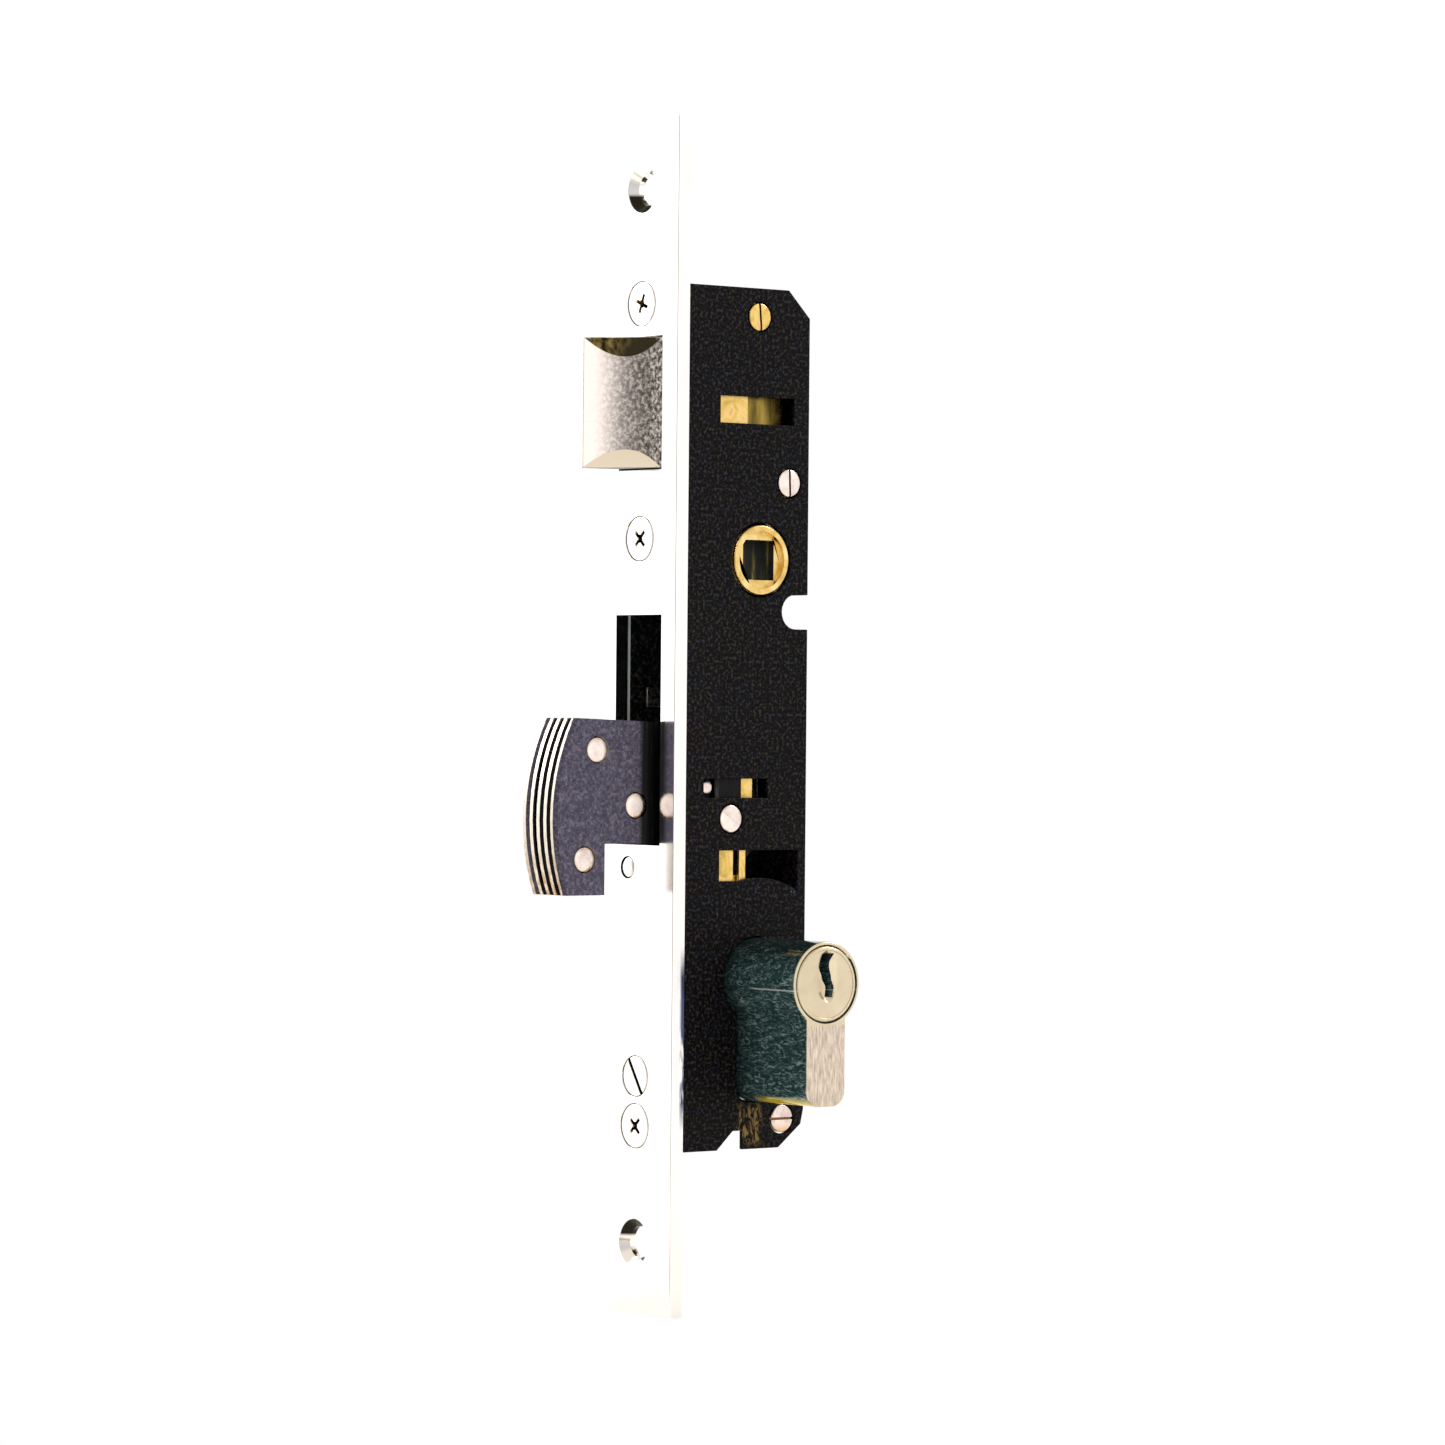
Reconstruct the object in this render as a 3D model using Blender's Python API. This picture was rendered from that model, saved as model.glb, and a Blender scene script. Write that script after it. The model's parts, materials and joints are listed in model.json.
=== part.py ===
"""Narrow-stile mortise lock with a latch, a laminated hook bolt and a double euro cylinder.

Frame: origin on the faceplate's front face, on its centre line and level with the
cylinder's axis.  +X runs into the door, the cover plate faces -Y, +Z is up.
The hook bolt is modelled thrown and the latch extended.
"""
import math

import bmesh
import bpy
from mathutils import Matrix, Vector

MM = 0.001
GAP = 0.3 * MM                      # clearance kept between neighbouring solids
OVER = 1 * MM                       # how far cutters reach past what they cut

# Faceplate
FACE_WIDTH = 24 * MM
FACE_THICK = 3 * MM
FACE_TOP = 173.2 * MM
FACE_BOTTOM = -66.8 * MM
FACE_EDGE_RADIUS = 1.1 * MM
MOUNT_HOLES_Z = (159.0 * MM, -52.6 * MM)
MOUNT_HOLE_R = 3.2 * MM
MOUNT_SINK_R = 4.8 * MM
FACE_SCREWS_Z = {"top": 136.0 * MM, "middle": 88.8 * MM, "bottom": -29.2 * MM}
FACE_SCREW_HEAD_R = 4.5 * MM
FACE_SCREW_R = 1.9 * MM
FACE_SCREW_LENGTH = 9.0 * MM
CROSS_WIDTH = 0.8 * MM
CROSS_SPAN = 4.2 * MM
CROSS_DEPTH = 1.5 * MM
CROSS_TURNS = {"top": 22.0, "middle": 45.0, "bottom": 45.0}     # degrees
CYL_SCREW_R = 2.1 * MM
CYL_SCREW_HEAD_R = 4.1 * MM
CYL_SCREW_LENGTH = 29.0 * MM
CYL_SCREW_SLOT = 0.8 * MM
CYL_SCREW_TURN = 58.0               # degrees from +Y towards +Z
FACE_RIVET_Y = 3.0 * MM
FACE_RIVET_Z = 22.7 * MM
FACE_RIVET_R = 2.0 * MM
HEAD_SET_BACK = 0.05 * MM

# Case
CASE_THICK = 16 * MM
CASE_WALL = 1.0 * MM
CASE_FRONT = FACE_THICK + GAP
CASE_BACK = 37.3 * MM
CASE_TOP = 140.0 * MM
CASE_BOTTOM = -34.3 * MM
CASE_OUT_Y = CASE_THICK / 2
CASE_IN_Y = CASE_OUT_Y - CASE_WALL
COVER_IN_Y = -CASE_IN_Y
TRAY_EDGE_Y = COVER_IN_Y + GAP
CASE_IN_BACK = CASE_BACK - CASE_WALL
CASE_TOP_CHAMFER = 5.5 * MM
CASE_HEEL = (6.5 * MM, 4.6 * MM)    # the cut-off corner at the bottom of the back
CASE_HEEL_TOP = 7.7 * MM
BOTTOM_NOTCH_X = (14.9 * MM, 19.0 * MM, 21.4 * MM)
BOTTOM_NOTCH_RISE = 3.8 * MM
BOTTOM_OPEN_X = 18.5 * MM           # the tray has no bottom wall behind this
LUG_LENGTH = 6.4 * MM
LUG_HALF = 3.6 * MM
ROSE_NOTCH_Z = 74.6 * MM
ROSE_NOTCH_DEPTH = 6.7 * MM
ROSE_NOTCH_HEIGHT = 7.0 * MM
POSTS = {"top": (24.2 * MM, 134.2 * MM), "middle": (32.2 * MM, 100.8 * MM),
         "bottom": (31.6 * MM, -28.4 * MM)}
POST_R = 2.85 * MM
POST_BORE_R = 1.6 * MM
POST_BORE_DEPTH = 9.0 * MM
CASE_SCREW_PROUD = 0.2 * MM
CASE_SCREW_SLOT = 0.8 * MM
CASE_SCREW_SLOT_DEPTH = 0.6 * MM
CASE_SCREW_TURNS = {"top": 85.0, "middle": 88.0, "bottom": 0.0}    # degrees, from +X
CASE_SCREW_MATERIALS = {"top": "yellow_zinc", "middle": "zinc_steel", "bottom": "zinc_steel"}
UPPER_WINDOW = ((14.3 * MM, 33.4 * MM), (112.5 * MM, 118.0 * MM))
DRIVE_WINDOW = ((10.7 * MM, 27.2 * MM), (36.8 * MM, 40.7 * MM))
LOWER_WINDOW_X = (14.9 * MM, 35.2 * MM)
LOWER_WINDOW_TOP = 26.2 * MM
LOWER_WINDOW_STEP_Z = 20.0 * MM
LOWER_WINDOW_SWEEP_R = 20.6 * MM
DETENT_X = (7 * MM, 30 * MM)
DETENT_Z = (55 * MM, 59 * MM)

# Cylinder: euro profile, double
BACKSET = 25 * MM
CYL_CIRCLE_R = 8.5 * MM
CYL_LOBE_HALF = 5.0 * MM
CYL_LOBE_CORNER_R = 3.2 * MM
CYL_BOTTOM = -24.5 * MM
CYL_HALF_LENGTH = 30 * MM
CYL_FIX_Z = -19.2 * MM
PLUG_R = 6.5 * MM
PLUG_FACE_R = 7.6 * MM
PLUG_FACE_DEPTH = 1.2 * MM
CAM_HALF_WIDTH = 4.6 * MM
CAM_REACH = 15.0 * MM
CAM_ARM_HALF = 2.9 * MM
CAM_REST_DEG = 150.0                # from up, turning towards +X
CAM_SLOT_HALF = 5.0 * MM
CAM_ROOM_Z = (-15.5 * MM, 12 * MM)
PIN_COUNT = 5
PIN_PITCH = 3.6 * MM
PIN_FIRST_Y = -25.4 * MM
PIN_R = 1.35 * MM
PIN_BORE_R = PIN_R + GAP
PIN_BORE_BOTTOM = -22.0 * MM
DRIVER_LENGTH = 4.2 * MM
PIN_SPRING_WIRE = 0.2 * MM
KEYWAY_BOTTOM = -3.0 * MM
KEYWAY_TOP = 6.9 * MM

# Hub
HUB_Z = 85 * MM
SPINDLE_SIZE = 8 * MM
HUB_JOURNAL_R = 7.05 * MM
HUB_RECESS_R = 5.8 * MM
HUB_RECESS_DEPTH = 1.2 * MM
HUB_DISC_R = 8.6 * MM
HUB_DISC_HALF = 3.2 * MM
HUB_ARM_REACH = 20 * MM
HUB_ARM_HALF = 2.5 * MM
HUB_ARM_REST_DEG = -26.0            # from up, turning towards +X
HUB_HOLE_R = 7.7 * MM
HUB_SPRING_WIRE = 0.45 * MM
HUB_SPRING_START_Y = -6.2 * MM

# Latch
LATCH_Z = 116.0 * MM
LATCH_HALF_HEIGHT = 13.1 * MM
LATCH_HALF_WIDTH = 6.5 * MM
LATCH_TIP_X = -9.9 * MM
LATCH_TIP_FLAT = 0.5 * MM
LATCH_BASE_X = 0.3 * MM
LATCH_BACK_X = 9.5 * MM
LATCH_SCOOP = 2.5 * MM
LATCH_SCOOP_END = 3.8 * MM
LATCH_SLOT_HALF_WIDTH = 7.1 * MM
LATCH_SLOT_HALF_HEIGHT = 13.5 * MM
LATCH_SPRING_Y = 1.6 * MM
LATCH_SPRING_R = 2.5 * MM
LATCH_SPRING_WIRE = 0.7 * MM
LATCH_STEP_X = 4.5 * MM             # where the head is cut away for the tail
LATCH_TAIL_Y = (-6.5 * MM, -4.4 * MM)
LATCH_TAIL_RISE = (-4.4 * MM, 3.8 * MM)
LATCH_TAIL_END = 22.4 * MM
LATCH_LUG_LENGTH = 3.0 * MM
LATCH_LUG_FAR_Y = 3.0 * MM
LATCH_LUG_RISE = (-12.4 * MM, -4.1 * MM)
LATCH_PIN_X = 7.2 * MM
LATCH_PIN_R = 1.2 * MM
LATCH_PIN_END_Y = -2.6 * MM
LATCH_SEAT_X = 3.9 * MM
LATCH_GUIDE_X = (22.9 * MM, 33.3 * MM)
LATCH_GUIDE_Y = (-4.1 * MM, -3.2 * MM)
LATCH_GUIDE_RISE = (-3.4 * MM, 4.9 * MM)
LATCH_GUIDE_EAR = 1.4 * MM

# Hook bolt, swinging about a pin through the case
PIVOT_X = 17.8 * MM
PIVOT_Z = 32.6 * MM
PIVOT_PIN_R = 2.8 * MM
BOLT_R = 42.4 * MM
BOLT_TOP = 20.1 * MM                # heights and lengths below are from the pivot
BOLT_SHOULDER = (-16 * MM, 19.4 * MM)
BOLT_HEEL = (-4 * MM, 17.8 * MM)
BOLT_UNDERSIDE = -4.9 * MM
BOLT_HOOK_BOTTOM = -15.1 * MM
BOLT_THROAT = -29.9 * MM
BOLT_ROOT_R = 10.0 * MM
BOLT_PLATES = 5
BOLT_PITCH = 2.28 * MM
BOLT_PLATE_THICK = BOLT_PITCH - GAP
BOLT_CENTRE_Y = 0.25 * MM
BOLT_NEAR_Y = BOLT_CENTRE_Y - BOLT_PLATES * BOLT_PITCH / 2 + GAP / 2
BOLT_FAR_Y = BOLT_CENTRE_Y + BOLT_PLATES * BOLT_PITCH / 2 - GAP / 2
BOLT_RIVET_R = 2.5 * MM
BOLT_RIVETS = {"upper": (-14.06 * MM, 46.4 * MM), "middle": (-4.3 * MM, 35.3 * MM),
               "lower": (-17.0 * MM, 24.6 * MM)}
BOLT_SLOT_HALF_WIDTH = 7.4 * MM
BOLT_SLOT_Z = (27.3 * MM, 73.5 * MM)
DRIVE_PIN = (-5.2 * MM, 6.3 * MM)   # from the pivot
DRIVE_PIN_R = 1.4 * MM
BOLT_SWING_DEG = 86.0

# Drive slide, between the cylinder's cam and the bolt's drive pin
SLIDE_Y = (-6.6 * MM, -5.7 * MM)
SLIDE_BAR_X = (14.7 * MM, 19.6 * MM)
SLIDE_BAR_Z = (15.6 * MM, 27.4 * MM)
SLIDE_FOOT_TOP = 19.9 * MM
SLIDE_LEG_X = (21.1 * MM, 22.8 * MM)
SLIDE_HEAD_X = (21.4 * MM, 24.4 * MM)
SLIDE_HEAD_Z = (36.0 * MM, 41.5 * MM)
SLIDE_HEAD_CORNER = 0.8 * MM
SLIDE_ARM_Z = (35.9 * MM, 45.6 * MM)
SLIDE_ARM_FRONT = 3.8 * MM          # ahead of the drive pin
SLIDE_SLOT_PLAY = 0.6 * MM          # beside the drive pin
SLIDE_DRIVER_X = (19.0 * MM, 22.8 * MM)
SLIDE_DRIVER_TOP = 21.2 * MM

AXES = {"X": Matrix(((0, 0, 1), (1, 0, 0), (0, 1, 0))),     # lathe axis -> +X
        "Y": Matrix(((1, 0, 0), (0, 0, 1), (0, -1, 0))),    # lathe axis -> +Y
        "Z": Matrix.Identity(3)}

MATERIALS = {
    "polished_nickel": ((0.86, 0.85, 0.83), 0.08, 1.0),
    "black_paint": ((0.022, 0.020, 0.020), 0.55, 0.0),
    "zinc_steel": ((0.72, 0.72, 0.70), 0.28, 1.0),
    "yellow_zinc": ((0.83, 0.62, 0.24), 0.32, 1.0),
    "cast_nickel": ((0.62, 0.60, 0.56), 0.35, 1.0),
    "ground_steel": ((0.74, 0.72, 0.69), 0.25, 1.0),
    "dark_steel": ((0.085, 0.085, 0.11), 0.45, 1.0),
    "champagne_nickel": ((0.78, 0.72, 0.62), 0.22, 1.0),
    "brass": ((0.80, 0.60, 0.26), 0.25, 1.0),
    "spring_steel": ((0.55, 0.55, 0.56), 0.30, 1.0),
}


def clear_scene():
    for obj in list(bpy.data.objects):
        bpy.data.objects.remove(obj, do_unlink=True)


def make_materials():
    made = {}
    for name, (colour, roughness, metallic) in MATERIALS.items():
        material = bpy.data.materials.new(name)
        material.use_nodes = True
        shader = material.node_tree.nodes["Principled BSDF"]
        shader.inputs["Base Color"].default_value = (*colour, 1.0)
        shader.inputs["Roughness"].default_value = roughness
        shader.inputs["Metallic"].default_value = metallic
        material.diffuse_color = (*colour, 1.0)
        made[name] = material
    return made


# ---------------------------------------------------------------- shapes

def box(x, y, z):
    """A block between the two values of each pair."""
    mesh = bmesh.new()
    bmesh.ops.create_cube(mesh, size=1.0)
    size = Vector((x[1] - x[0], y[1] - y[0], z[1] - z[0]))
    centre = Vector((sum(x), sum(y), sum(z))) / 2
    for vert in mesh.verts:
        vert.co = Vector(a * b for a, b in zip(vert.co, size)) + centre
    return mesh


def prism(outline, y):
    """An outline of (x, z) points, extruded along Y between the two values of y."""
    mesh = bmesh.new()
    near = [mesh.verts.new((px, y[0], pz)) for px, pz in outline]
    far = [mesh.verts.new((px, y[1], pz)) for px, pz in outline]
    mesh.faces.new(near)
    mesh.faces.new(reversed(far))
    for i in range(len(outline)):
        j = (i + 1) % len(outline)
        mesh.faces.new((near[i], far[i], far[j], near[j]))
    bmesh.ops.recalc_face_normals(mesh, faces=mesh.faces)
    return mesh


def lathe(profile, axis, at, segments=24):
    """Turn a profile of (along, radius) points about an axis through at, with flat ends."""
    mesh = bmesh.new()
    turn = AXES[axis]
    rings = []
    for along, radius in profile:
        verts = []
        for i in range(segments):
            angle = 2 * math.pi * (i + 0.5) / segments
            local = Vector((radius * math.cos(angle), radius * math.sin(angle), along))
            verts.append(mesh.verts.new(turn @ local + Vector(at)))
        rings.append(verts)
    for lower, upper in zip(rings, rings[1:]):
        for i in range(segments):
            j = (i + 1) % segments
            mesh.faces.new((lower[i], lower[j], upper[j], upper[i]))
    mesh.faces.new(reversed(rings[0]))
    mesh.faces.new(rings[-1])
    bmesh.ops.recalc_face_normals(mesh, faces=mesh.faces)
    return mesh


def rod(axis, at, radius, span, segments=16):
    """A plain cylinder; span is its two ends along the axis, in world values."""
    return lathe([(span[0], radius), (span[1], radius)], axis, at, segments)


def rod_y(x, z, radius, y, segments=16):
    return rod("Y", (x, 0, z), radius, y, segments)


def rod_x(y, z, radius, x, segments=16):
    return rod("X", (0, y, z), radius, x, segments)


def arc(centre, radius, start_deg, end_deg, steps):
    """Points on an arc; degrees are from +X towards +Z."""
    points = []
    for i in range(steps + 1):
        angle = math.radians(start_deg + (end_deg - start_deg) * i / steps)
        points.append((centre[0] + radius * math.cos(angle), centre[1] + radius * math.sin(angle)))
    return points


def tube_along(points, radius, sides=5):
    """A round wire through points, with flat ends."""
    mesh = bmesh.new()
    rings = []
    for i, point in enumerate(points):
        ahead = points[min(i + 1, len(points) - 1)]
        behind = points[max(i - 1, 0)]
        along = (ahead - behind).normalized()
        side = along.orthogonal() if i == 0 else side - along * side.dot(along)
        side.normalize()
        other = along.cross(side)
        ring = []
        for k in range(sides):
            angle = 2 * math.pi * k / sides
            offset = (side * math.cos(angle) + other * math.sin(angle)) * radius
            ring.append(mesh.verts.new(point + offset))
        rings.append(ring)
    for lower, upper in zip(rings, rings[1:]):
        for k in range(sides):
            j = (k + 1) % sides
            mesh.faces.new((lower[k], lower[j], upper[j], upper[k]))
    mesh.faces.new(reversed(rings[0]))
    mesh.faces.new(rings[-1])
    bmesh.ops.recalc_face_normals(mesh, faces=mesh.faces)
    return mesh


def coil_points(axis, at, radius, span, turns, steps_per_turn=10):
    """Points of a helix about an axis through at, between the two values of span."""
    points = []
    steps = int(turns * steps_per_turn)
    for i in range(steps + 1):
        angle = 2 * math.pi * i / steps_per_turn
        along = span[0] + (span[1] - span[0]) * i / steps
        local = Vector((radius * math.cos(angle), radius * math.sin(angle), along))
        points.append(AXES[axis] @ local + Vector(at))
    return points


def disc_with_arm(centre, radius, reach, half, up_deg, steps=20):
    """A disc with a round-ended arm; up_deg turns from +Z towards +X."""
    half_deg = math.degrees(math.asin(half / radius))
    arm_deg = 90 - up_deg
    points = arc(centre, radius, arm_deg + half_deg, arm_deg + 360 - half_deg, steps)
    arm = math.radians(arm_deg)
    tip_radius = min(half, reach / 2)
    tip_reach = reach - tip_radius
    tip = (centre[0] + tip_reach * math.cos(arm), centre[1] + tip_reach * math.sin(arm))
    return points + arc(tip, tip_radius, arm_deg - 90, arm_deg + 90, 6)


# ---------------------------------------------------------------- objects

class Builder:
    """Makes the named pieces and keeps the joint empties they hang from."""

    def __init__(self):
        self.materials = make_materials()

    def joint(self, name, at):
        empty = bpy.data.objects.new(name, None)
        empty.location = at
        empty.empty_display_size = 0.01
        bpy.context.scene.collection.objects.link(empty)
        return empty

    def place(self, name, mesh, joint):
        data = bpy.data.meshes.new(name)
        if joint:
            bmesh.ops.translate(mesh, verts=mesh.verts, vec=-joint.location)
        bmesh.ops.recalc_face_normals(mesh, faces=mesh.faces)
        mesh.to_mesh(data)
        mesh.free()
        obj = bpy.data.objects.new(name, data)
        obj.parent = joint
        bpy.context.scene.collection.objects.link(obj)
        return obj

    def piece(self, name, mesh, material, joint=None, add=(), cut=()):
        """A finished sub-part: the mesh, joined with add and cut by cut."""
        obj = self.place(name, mesh, joint)
        obj.data.materials.append(self.materials[material])
        for operation, tools in (("UNION", add), ("DIFFERENCE", cut)):
            for i, tool in enumerate(tools):
                other = self.place(f"{name}_{operation.lower()}_{i}", tool, joint)
                other.hide_render = True
                other.display_type = "WIRE"
                modifier = obj.modifiers.new(other.name, "BOOLEAN")
                modifier.operation = operation
                modifier.object = other
        obj.data.shade_smooth()
        obj.data.set_sharp_from_angle(angle=math.radians(35))
        return obj


# ---------------------------------------------------------------- faceplate and its screws

def face_section():
    """The faceplate's section in (x, y), with rounded front edges."""
    half = FACE_WIDTH / 2
    r = FACE_EDGE_RADIUS
    points = [(FACE_THICK, -half), (FACE_THICK, half)]
    for side in (1, -1):
        start = 90 if side > 0 else 180
        for i in range(5):
            angle = math.radians(start + 90 * i / 4)
            points.append((r + r * math.cos(angle), side * (half - r) + r * math.sin(angle)))
    return points


def countersink(z, hole_r, sink_r):
    """A cutter for a 45 degree countersunk hole through the faceplate."""
    depth = sink_r - hole_r
    profile = [(-OVER, sink_r + OVER), (depth, hole_r), (FACE_THICK + OVER, hole_r)]
    return lathe(profile, "X", (0, 0, z))


def make_faceplate(build):
    section = face_section()
    mesh = bmesh.new()
    lower = [mesh.verts.new((x, y, FACE_BOTTOM)) for x, y in section]
    upper = [mesh.verts.new((x, y, FACE_TOP)) for x, y in section]
    mesh.faces.new(lower)
    mesh.faces.new(reversed(upper))
    for i in range(len(section)):
        j = (i + 1) % len(section)
        mesh.faces.new((lower[i], upper[i], upper[j], lower[j]))
    through = (-OVER, FACE_THICK + OVER)
    latch_z = (LATCH_Z - LATCH_SLOT_HALF_HEIGHT, LATCH_Z + LATCH_SLOT_HALF_HEIGHT)
    cuts = [box(through, (-LATCH_SLOT_HALF_WIDTH, LATCH_SLOT_HALF_WIDTH), latch_z),
            box(through, (-BOLT_SLOT_HALF_WIDTH, BOLT_SLOT_HALF_WIDTH), BOLT_SLOT_Z),
            rod_x(FACE_RIVET_Y, FACE_RIVET_Z, FACE_RIVET_R + GAP, through)]
    cuts += [countersink(z, MOUNT_HOLE_R, MOUNT_SINK_R) for z in MOUNT_HOLES_Z]
    cuts += [countersink(z, FACE_SCREW_R + GAP, FACE_SCREW_HEAD_R + GAP)
             for z in FACE_SCREWS_Z.values()]
    cuts.append(countersink(CYL_FIX_Z, CYL_SCREW_R + GAP, CYL_SCREW_HEAD_R + GAP))
    build.piece("faceplate", mesh, "polished_nickel", cut=cuts)


def countersunk_screw(z, head_r, shank_r, length):
    """A flat-headed screw along +X, its head level with the faceplate."""
    front = HEAD_SET_BACK
    rim = 0.25 * MM
    profile = [(front, head_r - rim / 2), (front + rim / 2, head_r - rim / 4),
               (front + rim + head_r - shank_r, shank_r), (length - shank_r / 2, shank_r),
               (length, shank_r / 2)]
    return lathe(profile, "X", (0, 0, z))


def head_slot(z, length, width, depth, turn_deg):
    """A cutter for a driver slot in a screw head, turned from +Y towards +Z."""
    slot = box((-OVER, depth), (-length / 2, length / 2), (-width / 2, width / 2))
    turn = Matrix.Rotation(math.radians(turn_deg), 3, "X")
    bmesh.ops.rotate(slot, verts=slot.verts, cent=(0, 0, 0), matrix=turn)
    bmesh.ops.translate(slot, verts=slot.verts, vec=(0, 0, z))
    return slot


def make_faceplate_screws(build):
    for place, z in FACE_SCREWS_Z.items():
        cross = [head_slot(z, CROSS_SPAN, CROSS_WIDTH, CROSS_DEPTH, CROSS_TURNS[place] + turn)
                 for turn in (0, 90)]
        screw = countersunk_screw(z, FACE_SCREW_HEAD_R, FACE_SCREW_R, FACE_SCREW_LENGTH)
        build.piece(f"faceplate_screw_{place}", screw, "zinc_steel", cut=cross)
    slot = head_slot(CYL_FIX_Z, 3 * CYL_SCREW_HEAD_R, CYL_SCREW_SLOT, 1 * MM, CYL_SCREW_TURN)
    screw = countersunk_screw(CYL_FIX_Z, CYL_SCREW_HEAD_R, CYL_SCREW_R, CYL_SCREW_LENGTH)
    build.piece("cylinder_screw", screw, "zinc_steel", cut=[slot])
    rivet = rod_x(FACE_RIVET_Y, FACE_RIVET_Z, FACE_RIVET_R, (HEAD_SET_BACK, FACE_THICK))
    build.piece("face_rivet", rivet, "zinc_steel")


# ---------------------------------------------------------------- case

def case_outline(inset=0.0):
    """The case's side view; inset moves every edge inwards but leaves the front open."""
    front = CASE_FRONT if inset == 0 else CASE_FRONT - OVER
    back = CASE_BACK - inset
    top = CASE_TOP - inset
    bottom = CASE_BOTTOM + inset
    notch = BOTTOM_NOTCH_X
    notch_top = bottom + BOTTOM_NOTCH_RISE
    corner = math.tan(math.radians(22.5)) * inset
    return [(front, bottom), (notch[0] - corner, bottom), (notch[1] - corner, notch_top),
            (notch[2] + inset, notch_top), (notch[2] + inset, bottom),
            (CASE_BACK - CASE_HEEL[0] - corner, bottom),
            (back - 0.7 * MM, bottom + CASE_HEEL[1] - corner),
            (back, CASE_BOTTOM + CASE_HEEL_TOP), (back, CASE_TOP - CASE_TOP_CHAMFER - corner),
            (CASE_BACK - CASE_TOP_CHAMFER - corner, top), (front, top)]


def euro_outline(grow=0.0):
    """The euro profile: a circle with a round-cornered lobe below it."""
    r = CYL_CIRCLE_R + grow
    join = math.degrees(math.asin((CYL_LOBE_HALF + grow) / r))
    points = arc((BACKSET, 0), r, 270 + join, 270 + 360 - join, 24)
    for side, start in ((-1, 180), (1, 270)):
        centre = (BACKSET + side * (CYL_LOBE_HALF - CYL_LOBE_CORNER_R), CYL_BOTTOM + CYL_LOBE_CORNER_R)
        points += arc(centre, CYL_LOBE_CORNER_R + grow, start, start + 90, 5)
    return points


def rose_notch(y):
    """The U-shaped gap in the back edge that a rose's screw passes through."""
    r = ROSE_NOTCH_HEIGHT / 2
    centre = (CASE_BACK - ROSE_NOTCH_DEPTH + r, ROSE_NOTCH_Z)
    outside = CASE_BACK + OVER
    ends = [(outside, ROSE_NOTCH_Z - r), (outside, ROSE_NOTCH_Z + r)]
    return prism(arc(centre, r, 90, 270, 12) + ends, y)


def lower_window(y):
    """The window over the drive slide, its lower right edge concentric with the cylinder."""
    left, right = LOWER_WINDOW_X
    start = math.degrees(math.asin(LOWER_WINDOW_STEP_Z / LOWER_WINDOW_SWEEP_R))
    end = math.degrees(math.acos((right - BACKSET) / LOWER_WINDOW_SWEEP_R))
    sweep = arc((BACKSET, 0), LOWER_WINDOW_SWEEP_R, 180 - start, end, 12)
    return prism([(left, LOWER_WINDOW_STEP_Z)] + sweep
                 + [(right, LOWER_WINDOW_TOP), (left, LOWER_WINDOW_TOP)], y)


def case_piercings(y):
    """Holes that go through both side plates; y spans the plate being cut."""
    return [rod_y(BACKSET, HUB_Z, HUB_HOLE_R, y, 24), prism(euro_outline(GAP), y),
            rod_y(PIVOT_X, PIVOT_Z, PIVOT_PIN_R + GAP, y), rose_notch(y)]


def make_case(build):
    tray = prism(case_outline(), (TRAY_EDGE_Y, CASE_OUT_Y))
    inside = (TRAY_EDGE_Y - OVER, CASE_IN_Y)
    everything = (TRAY_EDGE_Y - OVER, CASE_OUT_Y + OVER)
    back_wall = (CASE_IN_BACK - OVER, CASE_BACK + OVER)
    cam_half = math.sqrt((CAM_REACH + 2 * GAP) ** 2 - (CASE_IN_BACK - BACKSET) ** 2)
    cuts = case_piercings((CASE_IN_Y - OVER, CASE_OUT_Y + OVER))
    cuts += [prism(case_outline(CASE_WALL), inside), rose_notch(inside),
             box(back_wall, (-CAM_SLOT_HALF, CAM_SLOT_HALF), (-cam_half, cam_half)),
             box((BOTTOM_OPEN_X, CASE_BACK + OVER), everything,
                 (CASE_BOTTOM - OVER, CASE_BOTTOM + BOTTOM_NOTCH_RISE))]
    build.piece("case_body", tray, "black_paint", cut=cuts)

    through = (-CASE_OUT_Y - OVER, COVER_IN_Y + OVER)
    cuts = case_piercings(through) + [lower_window(through)]
    cuts += [box(x, through, z) for x, z in (UPPER_WINDOW, DRIVE_WINDOW)]
    cuts += [rod_y(x, z, POST_R + GAP, through) for x, z in POSTS.values()]
    build.piece("case_cover", prism(case_outline(), (-CASE_OUT_Y, COVER_IN_Y)), "black_paint", cut=cuts)


def make_front_lugs(build):
    """The blocks inside the case's front edge that the faceplate's screws bite into."""
    x = (CASE_FRONT + GAP, CASE_FRONT + GAP + LUG_LENGTH)
    for place, z in FACE_SCREWS_Z.items():
        low = max(z - LUG_HALF, CASE_BOTTOM + CASE_WALL + GAP)
        high = min(z + LUG_HALF, CASE_TOP - CASE_WALL - GAP)
        lug = box(x, (TRAY_EDGE_Y + GAP, CASE_IN_Y - GAP), (low, high))
        bore = rod_x(0, z, FACE_SCREW_R + GAP, (0, x[1] + OVER), 12)
        build.piece(f"front_lug_{place}", lug, "zinc_steel", cut=[bore])


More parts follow.
